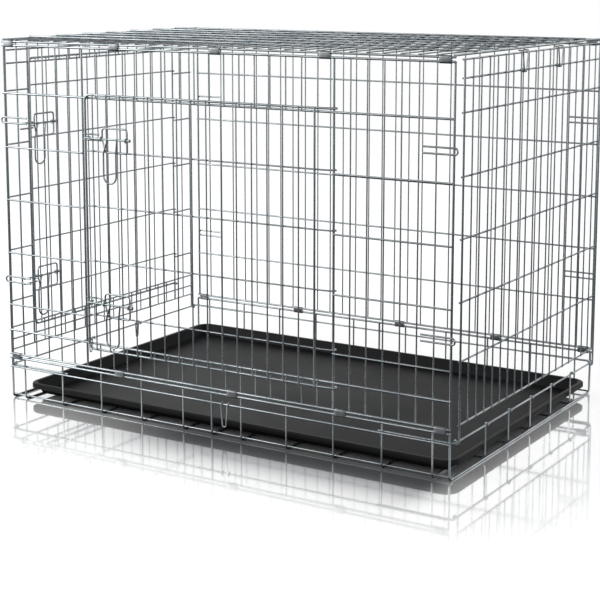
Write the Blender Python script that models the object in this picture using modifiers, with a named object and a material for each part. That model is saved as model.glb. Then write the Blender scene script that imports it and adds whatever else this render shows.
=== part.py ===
"""A folding wire dog crate with a slide-out tray, modelled at its real size in metres.

The crate is a tube of four welded wire panels (base, front, roof, back) joined by sheet
clips round their paired long rails, closed by two end panels that fold in over the base.
The long side runs along X, the front faces -Y and the floor is z = 0.
"""

from math import cos, pi, radians, sin

import bmesh
import bpy
from mathutils import Vector

MM = 0.001

# Overall grid of the crate.
LENGTH = 1160 * MM  # between the centres of the end wires of a long panel
WIDTH = 770 * MM  # between the rail planes of the front and back panels
LONG_CELLS = 30  # wire intervals along a long panel
END_WIDTH = 730 * MM  # between the centres of an end panel's edge wires
END_CELLS = 19  # wire intervals across an end panel

# Wires, by radius.
THIN_RADIUS = 1.6 * MM  # uprights of every panel
LINE_RADIUS = 2.0 * MM  # cross wires between the rails
RAIL_RADIUS = 2.5 * MM  # rails and posts of the long panels and the roof
END_RAIL_RADIUS = 2.0 * MM  # rails of the end panels
END_POST_RADIUS = 2.2 * MM  # edge wires and jambs of the end panels
FLOOR_RADIUS = 2.0 * MM  # plain floor wires
FLOOR_POST_RADIUS = 2.5 * MM  # floor wires at both ends and the middle
SECOND_RAIL_RADIUS = 2.0 * MM
WELD = 0.5 * MM  # how far two welded wires sink into each other
PASS = 0.3 * MM  # gap where two wires only pass
WIRE_END = 1.0 * MM  # how far an upright runs past the centre of its rail

# Heights.
BASE_RAIL_Z = 100 * MM  # top rail of the base
RAIL_PAIR = 9 * MM  # between the two rails that a clip holds together
SECOND_RAIL_Z = 78 * MM
END_AXIS_Z = 79.5 * MM  # end rails of the base, which the end panels turn on
ROOF_RAIL_Z = 850.5 * MM
BAR_HEIGHTS = (229 * MM, 354 * MM, 480 * MM, 605 * MM, 731 * MM)  # long panels
SILL_Z = 167 * MM  # under the front door

# Base.
FLOOR_WIRES = (0, 1, 4, 7, 10, 13, 15, 17, 20, 23, 26, 29, 30)  # which grid lines
FLOOR_POSTS = (0, 15, 30)  # the thicker ones, which the long floor wires are welded to
FLOOR_BEND = 9 * MM
LONG_FLOOR_SPACING = 117 * MM
LONG_FLOOR_SHIFT = 12 * MM  # of the middle one towards the back
LONG_FLOOR_COUNT = 5
END_RAIL_BEND = 6 * MM
END_RAIL_OUT = 7.5 * MM  # end rails beyond the end wires of the long panels
END_RAIL_RETURN = 4.3  # grid intervals that an end rail runs back along the sides

# Front door, in grid lines of the long panels.
FRONT_JAMB, FRONT_HINGE, FRONT_LATCH_EDGE = 6, 23, 6.38
DOOR_BAR_LIFT = 7.5 * MM  # door bars above the panel's own
DOOR_DROP = 11.5 * MM  # door's lowest rail below the sill
DOOR_FRAME_RADIUS = 2.5 * MM
DOOR_BAR_RADIUS = 1.8 * MM
DOOR_CORNER = 14 * MM
EYE_GAP = 0.8 * MM  # play of the eyes round their post
EYE_SWEEP = radians(240)
EYE_RUN = 24 * MM  # over which a door wire bends in to its eye

# Side door, in grid lines of an end panel counted from the front.
SIDE_JAMB, SIDE_HINGE, SIDE_LATCH_EDGE = 2, 17, 2.28
SIDE_HEADER_DROP = 47.5 * MM  # below the top rail
SIDE_SILL_Z = 168 * MM
LEFT_LOW_BAR_Z = 139 * MM
LEFT_HOOK_BAR_DROP = 16.5 * MM
RIGHT_HOOK_BAR_DROP = 36.5 * MM
END_TOP_Z = 845.5 * MM
END_BOTTOM_Z = 114 * MM
LEFT_SHARES = (0.1613, 0.3308, 0.5044, 0.6753, 0.8476)  # of the height between the end rails
RIGHT_SHARES = (0.1777, 0.3431, 0.5167, 0.6863, 0.8585)
END_EYE_GAP = 0.8 * MM

# Door latches.
FRONT_BRACKET_START = 68 * MM  # from the jamb
SIDE_BRACKET_START = 33 * MM
BRACKET_LENGTH = 70 * MM
BRACKET_HEIGHT = 54 * MM
BRACKET_RADIUS = 2.0 * MM
BRACKET_CORNER = 7 * MM
BOLT_RADIUS = 2.2 * MM
BOLT_RISE = 30 * MM  # above the door bar
BOLT_TIP = 20.8 * MM  # from the jamb
BOLT_TAIL = 78 * MM  # from the start of the bracket
BOLT_HEAD_RADIUS = 3.6 * MM
BOLT_HEAD_LENGTH = 3 * MM
HANDLE_RADIUS = 2.0 * MM
HANDLE_START = 6 * MM  # from the start of the bracket
HANDLE_WIDTH = 35 * MM
HANDLE_DROP = 99 * MM
HANDLE_NOSE = 1.0 * MM  # straight wire between the two bends of its foot
HANDLE_STEPS = 4
GUIDE_RADIUS = 1.5 * MM  # wire rings that carry the bolt
GUIDE_GAP = 0.5 * MM
GUIDE_STEPS = 5
KEEPER_LENGTH = 46 * MM
FRONT_KEEPER_BACK = 0.0 * MM  # how far it starts behind the jamb
SIDE_KEEPER_BACK = 31 * MM
KEEPER_SPACING = 13 * MM
LATCH_BARS = (0, 3)  # door bars that carry a latch

# Corner catches, welded outside the long panels.
FRONT_CATCH_HEIGHTS = (290 * MM, 668 * MM)
BACK_CATCH_HEIGHTS = (285 * MM, 660 * MM)
CATCH_SPACING = 13 * MM
CATCH_LENGTH = 76 * MM
CATCH_NOSE = 1.0 * MM  # straight wire between the two bends of its nose
FRONT_CATCH_OUT = 9 * MM  # past the end wire, before the end panel's edge
BACK_CATCH_OUT = 1.6 * MM

# Sheet clips on the four long edges.
CLIP_LENGTH = 26 * MM
CLIP_SHEET = 0.8 * MM
CLIP_GAP = 0.5 * MM
CLIP_STEPS = 3  # flats round each rail
CLIP_LIP = 3.8 * MM  # how far the sheet's edges reach past the rails' centres
BASE_CLIP_CELLS = (0.5, 8.5, 16.5, 23.5, 29.5)  # grid places of the clips
ROOF_CLIP_CELLS = (0.5, 8.5, 15.5, 22.5, 29.5)

# Hooks.
HOOK_RADIUS = 1.5 * MM
HOOK_GAP = 0.3 * MM
HOOK_CELLS = (7.5, 12.5)  # grid places on an end panel
ROOF_HOOK_WIDTH = 27 * MM
ROOF_HOOK_FOOT = 10 * MM
ROOF_HOOK_CORNER = 3 * MM
TRAY_HOOK_WIDTH = 27 * MM
TRAY_HOOK_BOTTOM_Z = 42 * MM
CLOSING_HOOK_CELL = 16
CLOSING_HOOK_WIDTH = 17 * MM
CLOSING_HOOK_BOTTOM_Z = 27 * MM
HAIRPIN_EYE_GAP = 0.6 * MM
HAIRPIN_CORNER = 5 * MM

# Tray.
TRAY_LEFT_ROOM = 28 * MM  # between its left edge and the left end wires
TRAY_RIGHT_REACH = 1 * MM  # past the right end wires
TRAY_SIDE_ROOM = 19 * MM  # between its edges and the rail planes of the long panels
TRAY_RIM_Z = 36 * MM
TRAY_SKIRT_Z = 25 * MM
TRAY_RIM_WIDTH = 11 * MM
TRAY_WALL_SLOPE = 14 * MM  # how far the wall leans in on its way down
TRAY_SHEET = 2.4 * MM
TRAY_CORNER = 34 * MM
TRAY_CORNER_STEPS = 5

# Roof.
ROOF_LINES = 7  # long wires between its rails

# Sizes that follow from those above.
PITCH = LENGTH / LONG_CELLS
END_PITCH = END_WIDTH / END_CELLS
WELDED_UPRIGHT = RAIL_RADIUS + THIN_RADIUS - WELD  # rail plane to upright plane
PASSING_LINE = THIN_RADIUS + LINE_RADIUS + PASS  # upright plane to line plane
END_WELDED = END_RAIL_RADIUS + THIN_RADIUS - WELD
PANEL_BOTTOM_Z = BASE_RAIL_Z + RAIL_PAIR
PANEL_TOP_Z = ROOF_RAIL_Z - RAIL_PAIR
END_AXIS_X = LENGTH / 2 + END_RAIL_OUT
END_EYE_RADIUS = END_RAIL_RADIUS + END_POST_RADIUS + END_EYE_GAP
END_PLANE_X = END_AXIS_X + END_EYE_RADIUS
END_SPAN = END_TOP_Z - END_BOTTOM_Z
LEFT_BARS = tuple(END_BOTTOM_Z + share * END_SPAN for share in LEFT_SHARES)
RIGHT_BARS = tuple(END_BOTTOM_Z + share * END_SPAN for share in RIGHT_SHARES)
SIDE_HEADER_Z = END_TOP_Z - SIDE_HEADER_DROP
LEFT_HOOK_BAR_Z = END_TOP_Z - LEFT_HOOK_BAR_DROP
RIGHT_HOOK_BAR_Z = END_TOP_Z - RIGHT_HOOK_BAR_DROP
UPRIGHT_IN = RAIL_RADIUS + FLOOR_RADIUS - WELD  # base rail plane to its uprights
UPRIGHT_Y = WIDTH / 2 - UPRIGHT_IN
SECOND_RAIL_STEP = FLOOR_RADIUS + SECOND_RAIL_RADIUS + PASS
SECOND_RAIL_Y = UPRIGHT_Y + SECOND_RAIL_STEP
LONG_FLOOR_Z = 2 * FLOOR_POST_RADIUS + FLOOR_RADIUS - WELD
TRAY_FLOOR_Z = LONG_FLOOR_Z + FLOOR_RADIUS + PASS
TRAY_LEFT = TRAY_LEFT_ROOM - LENGTH / 2
TRAY_RIGHT = LENGTH / 2 + TRAY_RIGHT_REACH
TRAY_HALF_WIDTH = WIDTH / 2 - TRAY_SIDE_ROOM
ROOF_WIRE_Z = ROOF_RAIL_Z + WELDED_UPRIGHT
ROOF_LINE_Z = ROOF_WIRE_Z + PASSING_LINE
DOOR_UPRIGHT_STEP = DOOR_FRAME_RADIUS + THIN_RADIUS - WELD
DOOR_STILE_RADIUS = DOOR_UPRIGHT_STEP + WELD - DOOR_BAR_RADIUS
BRACKET_STEP = DOOR_UPRIGHT_STEP + THIN_RADIUS + BRACKET_RADIUS - WELD
BOLT_STEP = BRACKET_STEP + BRACKET_RADIUS + BOLT_RADIUS + PASS
CATCH_STEP = THIN_RADIUS + LINE_RADIUS - WELD
CLIP_INNER = RAIL_RADIUS + CLIP_GAP
HOOK_TIP_Z = ROOF_WIRE_Z - RAIL_RADIUS - HOOK_GAP - HOOK_RADIUS

GALVANISED = ("galvanised_wire", (0.56, 0.58, 0.59, 1.0), 0.38, 1.0)
ZINC_SHEET = ("zinc_sheet", (0.50, 0.52, 0.53, 1.0), 0.34, 1.0)
BLACK_PLASTIC = ("black_plastic", (0.035, 0.035, 0.038, 1.0), 0.42, 0.0)

COLLECTION_NAME = "folding_dog_crate"
THIN_STEPS = 0  # bevel resolution of the thin wires: four sides
ROUND_STEPS = 1  # bevel resolution of the others: six sides
RIDGE_TURN = radians(30)  # turns a six-sided wire from flat to ridge
BEND_STEPS = 2
DOOR_CORNER_STEPS = 3
HOOK_CORNER_STEPS = 1
EYE_STEPS = 5
SMOOTH_ANGLE = radians(50)  # sharper edges than this stay sharp
MERGE = 0.00001


class Plane:
    """An upright or level sheet of wires, with places given along it, up it and out of it."""

    def __init__(self, origin, along, up, out):
        self.origin = Vector(origin)
        self.along = Vector(along)
        self.up = Vector(up)
        self.out = Vector(out)

    def at(self, a, u, n=0.0):
        """The world point a along, u up and n out of the plane."""
        return self.origin + self.along * a + self.up * u + self.out * n


class Opening:
    """A door opening: its panel, its grid lines, its posts, the heights beside it and its latch."""

    def __init__(self, plane, pitch, lines, post, frame_out, heights, sill, latch):
        self.plane = plane
        self.pitch = pitch
        self.jamb_line, self.hinge_line, edge_line = lines
        self.jamb = self.jamb_line * pitch
        self.hinge = self.hinge_line * pitch
        self.edge = edge_line * pitch
        self.post_out, self.post_radius = post
        self.frame_out = frame_out
        self.bars = [z + DOOR_BAR_LIFT for z in heights[:-1]]
        self.top = heights[-1] + DOOR_BAR_LIFT
        self.bottom = sill - DOOR_DROP
        bracket_start, keeper_back = latch
        self.bracket = self.jamb + bracket_start
        self.keeper = self.jamb - keeper_back

    def stub_places(self):
        """Places of the uprights that the opening cuts short."""
        return [line * self.pitch for line in range(self.jamb_line + 1, self.hinge_line)]

    def bolt_z(self, bar):
        """Height of the latch bolt above a door bar."""
        return self.bars[bar] + BOLT_RISE


FRONT = Plane((-LENGTH / 2, -WIDTH / 2, 0), (1, 0, 0), (0, 0, 1), (0, -1, 0))
BACK = Plane((-LENGTH / 2, WIDTH / 2, 0), (1, 0, 0), (0, 0, 1), (0, -1, 0))
LEFT = Plane((-END_PLANE_X, -END_WIDTH / 2, 0), (0, 1, 0), (0, 0, 1), (-1, 0, 0))
RIGHT = Plane((END_PLANE_X, -END_WIDTH / 2, 0), (0, 1, 0), (0, 0, 1), (1, 0, 0))
FRONT_OPENING = Opening(
    FRONT, PITCH, (FRONT_JAMB, FRONT_HINGE, FRONT_LATCH_EDGE), (-WELDED_UPRIGHT, RAIL_RADIUS),
    RAIL_RADIUS + DOOR_FRAME_RADIUS + PASS, BAR_HEIGHTS, SILL_Z,
    (FRONT_BRACKET_START, FRONT_KEEPER_BACK))
SIDE_OPENING = Opening(
    LEFT, END_PITCH, (SIDE_JAMB, SIDE_HINGE, SIDE_LATCH_EDGE), (0.0, END_POST_RADIUS),
    END_POST_RADIUS + DOOR_FRAME_RADIUS + EYE_GAP, LEFT_BARS + (SIDE_HEADER_Z,), SIDE_SILL_Z,
    (SIDE_BRACKET_START, SIDE_KEEPER_BACK))


def clear_scene():
    """Remove every object that is already in the scene."""
    for item in list(bpy.data.objects):
        bpy.data.objects.remove(item, do_unlink=True)


def collection():
    """The collection that holds the crate's parts."""
    found = bpy.data.collections.get(COLLECTION_NAME)
    if found is None:
        found = bpy.data.collections.new(COLLECTION_NAME)
        bpy.context.scene.collection.children.link(found)
    return found


def finish_material(finish):
    """A Principled material for a finish: name, colour, roughness and metallic value."""
    name, colour, roughness, metallic = finish
    made = bpy.data.materials.get(name)
    if made is None:
        made = bpy.data.materials.new(name)
        made.use_nodes = True
        shader = made.node_tree.nodes["Principled BSDF"]
        shader.inputs["Base Color"].default_value = colour
        shader.inputs["Roughness"].default_value = roughness
        shader.inputs["Metallic"].default_value = metallic
    return made


def mesh_of(thing):
    """The evaluated mesh of an object, as new data."""
    graph = bpy.context.evaluated_depsgraph_get()
    return bpy.data.meshes.new_from_object(thing.evaluated_get(graph))


def weld_points(mesh):
    """Merge the loose caps of wires with their sides and face every shell outwards."""
    shape = bmesh.new()
    shape.from_mesh(mesh)
    bmesh.ops.remove_doubles(shape, verts=shape.verts, dist=MERGE)
    bmesh.ops.recalc_face_normals(shape, faces=shape.faces)
    shape.to_mesh(mesh)
    shape.free()


def wires(paths, radius, ridge=False, closed=False, level=ROUND_STEPS):
    """One object with a wire along each path of points; ridge turns an edge up or out."""
    curve = bpy.data.curves.new("wires", "CURVE")
    curve.dimensions = "3D"
    curve.bevel_depth = radius
    curve.bevel_resolution = level
    curve.use_fill_caps = True
    for path in paths:
        spline = curve.splines.new("POLY")
        spline.points.add(len(path) - 1)
        spline.use_cyclic_u = closed
        for point, place in zip(spline.points, path):
            point.co = (*place, 1.0)
            point.tilt = RIDGE_TURN if ridge and level == ROUND_STEPS else 0.0
    drawn = bpy.data.objects.new("wires", curve)
    bpy.context.scene.collection.objects.link(drawn)
    mesh = mesh_of(drawn)
    weld_points(mesh)
    solid = bpy.data.objects.new("wires", mesh)
    solid.matrix_world = drawn.matrix_world
    bpy.context.scene.collection.objects.link(solid)
    bpy.data.objects.remove(drawn)
    bpy.data.curves.remove(curve)
    return solid


def joined(pieces):
    """The welded union of wire objects, as one mesh object; the pieces are used up."""
    first, *others = pieces
    for other in others:
        cut = first.modifiers.new("weld", "BOOLEAN")
        cut.operation = "UNION"
        cut.solver = "EXACT"
        cut.object = other
    mesh = mesh_of(first)
    for piece in pieces:
        bpy.data.objects.remove(piece)
    whole = bpy.data.objects.new("joined", mesh)
    bpy.context.scene.collection.objects.link(whole)
    return whole


def name_part(solid, name, finish, pivot=(0, 0, 0), carrier=None):
    """Name a finished solid, put its origin on its pivot and hang it on its carrier."""
    pivot = Vector(pivot)
    mesh = solid.data
    for vertex in mesh.vertices:
        vertex.co -= pivot
    mesh.shade_smooth()
    mesh.set_sharp_from_angle(angle=SMOOTH_ANGLE)
    mesh.name = name
    mesh.materials.clear()
    mesh.materials.append(finish_material(finish))
    solid.name = name
    solid.location = pivot
    for holder in list(solid.users_collection):
        holder.objects.unlink(solid)
    collection().objects.link(solid)
    if carrier is not None:
        solid.parent = carrier
        solid.location = pivot - carrier_origin(carrier)
    return solid


def carrier_origin(carrier):
    """The world place of a carrier's origin, added up through its own carriers."""
    place = Vector((0, 0, 0))
    while carrier is not None:
        place += carrier.location
        carrier = carrier.parent
    return place


def rounded(points, radius, steps=BEND_STEPS):
    """The path through the points with each inner corner bent to the radius."""
    path = [Vector(points[0])]
    for before, corner, after in zip(points, points[1:], points[2:]):
        path += bend(Vector(before), Vector(corner), Vector(after), radius, steps)
    return path + [Vector(points[-1])]


def rounded_ring(points, radius, steps=BEND_STEPS):
    """The closed path through the points with every corner bent to the radius."""
    path = []
    for index, corner in enumerate(points):
        before, after = points[index - 1], points[(index + 1) % len(points)]
        path += bend(Vector(before), Vector(corner), Vector(after), radius, steps)
    return path


def bend(before, corner, after, radius, steps):
    """Points of the arc that rounds one corner."""
    back = (before - corner).normalized()
    ahead = (after - corner).normalized()
    half = back.angle(ahead) / 2
    reach = radius / (sin(half) / cos(half))
    centre = corner + (back + ahead).normalized() * (radius / sin(half))
    start = corner + back * reach - centre
    end = corner + ahead * reach - centre
    turn = start.angle(end)
    points = []
    for step in range(steps + 1):
        share = step / steps
        mixed = start * sin((1 - share) * turn) + end * sin(share * turn)
        points.append(centre + mixed / sin(turn))
    return points


def ring(centre, one, two, radius, start, sweep, steps):
    """Points round a centre in the plane of two directions, from an angle through a sweep."""
    points = []
    for step in range(steps + 1):
        angle = start + sweep * step / steps
        points.append(centre + one * (radius * cos(angle)) + two * (radius * sin(angle)))
    return points


def uprights(plane, places, low, high, out):
    """Straight upright paths of a panel, each from low to high."""
    return [[plane.at(a, low, out), plane.at(a, high, out)] for a in places]


def crossbars(plane, heights, start, end, out):
    """Straight level paths of a panel, one for each height."""
    return [[plane.at(start, z, out), plane.at(end, z, out)] for z in heights]


def base_frame():
    """The welded base: floor wires bent up at the sides, rails and both end rails."""
    plain = []
    posts = []
    for line in FLOOR_WIRES:
        post = line in FLOOR_POSTS
        floor_z = FLOOR_POST_RADIUS if post else FLOOR_RADIUS
        x = -LENGTH / 2 + line * PITCH
        top = BASE_RAIL_Z + WIRE_END
        corners = [
            (x, -UPRIGHT_Y, top),
            (x, -UPRIGHT_Y, floor_z),
            (x, UPRIGHT_Y, floor_z),
            (x, UPRIGHT_Y, top),
        ]
        (posts if post else plain).append(rounded(corners, FLOOR_BEND))
    long_wires = []
    inner_x = END_AXIS_X - END_RAIL_RADIUS - FLOOR_RADIUS + WELD
    for index in range(LONG_FLOOR_COUNT):
        y = LONG_FLOOR_SHIFT + (index - (LONG_FLOOR_COUNT - 1) / 2) * LONG_FLOOR_SPACING
        corners = [
            (-LENGTH / 2 - FLOOR_POST_RADIUS, y, LONG_FLOOR_Z),
            (inner_x, y, LONG_FLOOR_Z),
            (inner_x, y, END_AXIS_Z + WIRE_END),
        ]
        long_wires.append(rounded(corners, FLOOR_BEND))
    reach = LENGTH / 2 + RAIL_RADIUS
    for y in (FLOOR_BEND - UPRIGHT_Y, UPRIGHT_Y - FLOOR_BEND):
        long_wires.append([Vector((-reach, y, LONG_FLOOR_Z)), Vector((reach, y, LONG_FLOOR_Z))])
    rails = []
    seconds = []
    for side in (-1, 1):
        y = side * WIDTH / 2
        rails.append([Vector((-reach, y, BASE_RAIL_Z)), Vector((reach, y, BASE_RAIL_Z))])
        y = side * SECOND_RAIL_Y
        seconds.append([Vector((-reach, y, SECOND_RAIL_Z)), Vector((reach, y, SECOND_RAIL_Z))])
    ends = []
    return_y = UPRIGHT_Y - SECOND_RAIL_STEP
    for side in (-1, 1):
        back_x = side * (LENGTH / 2 - END_RAIL_RETURN * PITCH)
        end_x = side * END_AXIS_X
        corners = [
            (back_x, -return_y, END_AXIS_Z),
            (end_x, -return_y, END_AXIS_Z),
            (end_x, return_y, END_AXIS_Z),
            (back_x, return_y, END_AXIS_Z),
        ]
        ends.append(rounded(corners, END_RAIL_BEND))
    solid = joined([
        wires(plain, FLOOR_RADIUS, ridge=True),
        wires(posts, FLOOR_POST_RADIUS, ridge=True),
        wires(rails, RAIL_RADIUS),
        wires(seconds, SECOND_RAIL_RADIUS),
        wires(long_wires, FLOOR_RADIUS, ridge=True),
        wires(ends, END_RAIL_RADIUS),
    ])
    return name_part(solid, "base_frame", GALVANISED)


def catches(plane, heights, out, reach_past):
    """Hairpin catches at both ends of a long panel, two on each."""
    paths = []
    for near, sign in ((0.0, -1), (LENGTH, 1)):
        nose = near + sign * reach_past
        tail = near - sign * (CATCH_LENGTH - reach_past)
        for z in heights:
            low, high = z - CATCH_SPACING / 2, z + CATCH_SPACING / 2
            corners = [
                plane.at(tail, low, out),
                plane.at(nose, low, out),
                plane.at(nose, high, out),
                plane.at(tail, high, out),
            ]
            paths.append(rounded(corners, (CATCH_SPACING - CATCH_NOSE) / 2))
    return wires(paths, LINE_RADIUS)


def keepers(opening):
    """The two prongs that each latch bolt rests between, welded to the jamb."""
    plane, start, out = opening.plane, opening.keeper, opening.post_out
    paths = []
    for bar in LATCH_BARS:
        for side in (-1, 1):
            level = opening.bolt_z(bar) + side * KEEPER_SPACING / 2
            paths.append([plane.at(start, level, out),
                          plane.at(start + KEEPER_LENGTH, level, out)])
    return wires(paths, LINE_RADIUS)


def back_panel(carrier):
    """The plain back panel: rails, posts, uprights, lines and catches."""
    plane = BACK
    verticals = -WELDED_UPRIGHT
    reach = LENGTH + RAIL_RADIUS
    top, bottom = PANEL_TOP_Z, PANEL_BOTTOM_Z
    inner = [line * PITCH for line in range(1, LONG_CELLS)]
    solid = joined([
        wires(uprights(plane, inner, bottom - WIRE_END, top + WIRE_END, verticals),
              THIN_RADIUS, level=THIN_STEPS),
        wires(uprights(plane, (0.0, LENGTH), bottom - WIRE_END, top + WIRE_END, verticals),
              RAIL_RADIUS, ridge=True),
        wires(crossbars(plane, (bottom, top), -RAIL_RADIUS, reach, 0.0), RAIL_RADIUS),
        wires(crossbars(plane, BAR_HEIGHTS, 0.0, LENGTH, verticals + PASSING_LINE),
              LINE_RADIUS),
        catches(plane, BACK_CATCH_HEIGHTS, verticals - CATCH_STEP, BACK_CATCH_OUT),
    ])
    return name_part(solid, "back_panel", GALVANISED, plane.at(0, bottom), carrier)


def front_panel(carrier):
    """The front panel, with the door opening between its two jambs."""
    plane = FRONT
    verticals = -WELDED_UPRIGHT
    lines_out = verticals + PASSING_LINE
    top, bottom = PANEL_TOP_Z, PANEL_BOTTOM_Z
    header = BAR_HEIGHTS[-1]
    jamb, hinge = FRONT_OPENING.jamb, FRONT_OPENING.hinge
    full = [line * PITCH for line in range(1, LONG_CELLS)
            if line < FRONT_JAMB or line > FRONT_HINGE]
    cut = FRONT_OPENING.stub_places()
    thin = uprights(plane, full, bottom - WIRE_END, top + WIRE_END, verticals)
    thin += uprights(plane, cut, bottom - WIRE_END, SILL_Z + WIRE_END, verticals)
    thin += uprights(plane, cut, header - WIRE_END, top + WIRE_END, verticals)
    posts = uprights(plane, (0.0, jamb, hinge, LENGTH),
                     bottom - WIRE_END, top + WIRE_END, verticals)
    rails = crossbars(plane, (bottom, SILL_Z, header, top),
                      -RAIL_RADIUS, LENGTH + RAIL_RADIUS, 0.0)
    short = crossbars(plane, BAR_HEIGHTS[:-1], 0.0, jamb, lines_out)
    short += crossbars(plane, BAR_HEIGHTS[:-1], hinge, LENGTH, lines_out)
    solid = joined([
        wires(thin, THIN_RADIUS, level=THIN_STEPS),
        wires(posts, RAIL_RADIUS, ridge=True),
        wires(rails, RAIL_RADIUS),
        wires(short, LINE_RADIUS),
        keepers(FRONT_OPENING),
        catches(plane, FRONT_CATCH_HEIGHTS, verticals + CATCH_STEP, FRONT_CATCH_OUT),
    ])
    return name_part(solid, "front_panel", GALVANISED, plane.at(0, bottom), carrier)


def roof_panel(carrier):
    """The roof: rails, a wire over each grid line and long wires on top."""
    plane = Plane((-LENGTH / 2, -WIDTH / 2, 0), (1, 0, 0), (0, 1, 0), (0, 0, 1))
    inner = [line * PITCH for line in range(1, LONG_CELLS)]
    lines = [WIDTH * (index + 1) / (ROOF_LINES + 1) for index in range(ROOF_LINES)]
    past = WIRE_END
    reach = LENGTH + RAIL_RADIUS
    solid = joined([
        wires(uprights(plane, inner, -past, WIDTH + past, ROOF_WIRE_Z),
              THIN_RADIUS, level=THIN_STEPS),
        wires(uprights(plane, (0.0, LENGTH), -past, WIDTH + past, ROOF_WIRE_Z),
              RAIL_RADIUS, ridge=True),
        wires(crossbars(plane, (0.0, WIDTH), -RAIL_RADIUS, reach, ROOF_RAIL_Z),
              RAIL_RADIUS, ridge=True),
        wires(crossbars(plane, lines, -RAIL_RADIUS, reach, ROOF_LINE_Z),
              LINE_RADIUS, ridge=True),
    ])
    return name_part(solid, "roof_panel", GALVANISED, FRONT.at(0, PANEL_TOP_Z), carrier)


def end_posts(plane, jambs, top):
    """Edge wires of an end panel, each curled into an eye round the base rail, and jambs."""
    paths = []
    for a in (0.0, END_WIDTH):
        centre = plane.at(a, END_AXIS_Z, -END_EYE_RADIUS)
        curl = ring(centre, plane.out, -plane.up, END_EYE_RADIUS, 0.0, EYE_SWEEP, EYE_STEPS)
        paths.append([plane.at(a, top)] + curl)
    straight = uprights(plane, jambs, END_BOTTOM_Z - WIRE_END, top, 0.0)
    return [wires(paths, END_POST_RADIUS), *([wires(straight, END_POST_RADIUS)] if jambs else [])]


def right_end_panel(carrier):
    """The plain end panel at the right."""
    plane = RIGHT
    top = END_TOP_Z + WIRE_END
    inner = [line * END_PITCH for line in range(1, END_CELLS)]
    lines = RIGHT_BARS + (RIGHT_HOOK_BAR_Z,)
    past = END_POST_RADIUS
    solid = joined([
        wires(uprights(plane, inner, END_BOTTOM_Z - WIRE_END, top, 0.0), THIN_RADIUS,
              level=THIN_STEPS),
        *end_posts(plane, (), top),
        wires(crossbars(plane, (END_BOTTOM_Z, END_TOP_Z), -past, END_WIDTH + past,
                        -END_WELDED), END_RAIL_RADIUS),
        wires(crossbars(plane, lines, 0.0, END_WIDTH, -PASSING_LINE), LINE_RADIUS),
    ])
    pivot = plane.at(0, END_AXIS_Z, -END_EYE_RADIUS)
    return name_part(solid, "right_end_panel", GALVANISED, pivot, carrier)


def left_end_panel(carrier):
    """The end panel at the left, with its own door opening."""
    plane = LEFT
    top = END_TOP_Z + WIRE_END
    jamb, hinge = SIDE_OPENING.jamb, SIDE_OPENING.hinge
    full = [line * END_PITCH for line in range(1, END_CELLS)
            if line < SIDE_JAMB or line > SIDE_HINGE]
    cut = SIDE_OPENING.stub_places()
    thin = uprights(plane, full, END_BOTTOM_Z - WIRE_END, top, 0.0)
    thin += uprights(plane, cut, END_BOTTOM_Z - WIRE_END, SIDE_SILL_Z + WIRE_END, 0.0)
    thin += uprights(plane, cut, SIDE_HEADER_Z - WIRE_END, top, 0.0)
    past = END_POST_RADIUS
    rails = crossbars(plane, (END_BOTTOM_Z, SIDE_SILL_Z, SIDE_HEADER_Z, END_TOP_Z),
                      -past, END_WIDTH + past, -END_WELDED)
    short = crossbars(plane, LEFT_BARS, 0.0, jamb, -PASSING_LINE)
    short += crossbars(plane, LEFT_BARS, hinge, END_WIDTH, -PASSING_LINE)
    short += crossbars(plane, (LEFT_LOW_BAR_Z, LEFT_HOOK_BAR_Z), 0.0, END_WIDTH, -PASSING_LINE)
    solid = joined([
        wires(thin, THIN_RADIUS, level=THIN_STEPS),
        *end_posts(plane, (jamb, hinge), top),
        wires(rails, END_RAIL_RADIUS),
        wires(short, LINE_RADIUS),
        keepers(SIDE_OPENING),
    ])
    pivot = plane.at(0, END_AXIS_Z, -END_EYE_RADIUS)
    return name_part(solid, "left_end_panel", GALVANISED, pivot, carrier)


def to_eye(opening, z, radius):
    """The end of a level door wire: its bend in to the hinge post and its eye round that."""
    plane = opening.plane
    size = opening.post_radius + EYE_GAP + radius
    centre = plane.at(opening.hinge, z, opening.post_out)
    eye = ring(centre, plane.out, plane.along, size, 0.0, EYE_SWEEP, EYE_STEPS)
    return [plane.at(opening.hinge - EYE_RUN, z, opening.frame_out)] + eye


def door(opening, name, carrier):
    """A door: a bent frame wire and bars, hung by eyes on the hinge post, with brackets."""
    plane, out = opening.plane, opening.frame_out
    top, bottom = opening.top, opening.bottom
    upper = to_eye(opening, top, DOOR_FRAME_RADIUS)
    lower = to_eye(opening, bottom, DOOR_FRAME_RADIUS)
    corners = [upper[0], plane.at(opening.edge, top, out),
               plane.at(opening.edge, bottom, out), lower[0]]
    frame = upper[:0:-1] + rounded(corners, DOOR_CORNER, DOOR_CORNER_STEPS) + lower[1:]
    bars = [[plane.at(opening.edge, z, out)] + to_eye(opening, z, DOOR_BAR_RADIUS)
            for z in opening.bars]
    *places, last = opening.stub_places()
    low, high = bottom - WIRE_END, top + WIRE_END
    solid = joined([
        wires([frame], DOOR_FRAME_RADIUS),
        wires(bars, DOOR_BAR_RADIUS),
        wires(uprights(plane, places, low, high, out + DOOR_UPRIGHT_STEP), THIN_RADIUS,
              level=THIN_STEPS),
        wires(uprights(plane, (last,), low, high, out + DOOR_UPRIGHT_STEP), DOOR_STILE_RADIUS),
        *brackets(opening),
    ])
    return name_part(solid, name, GALVANISED, plane.at(opening.hinge, bottom, opening.post_out),
                     carrier)


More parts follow.
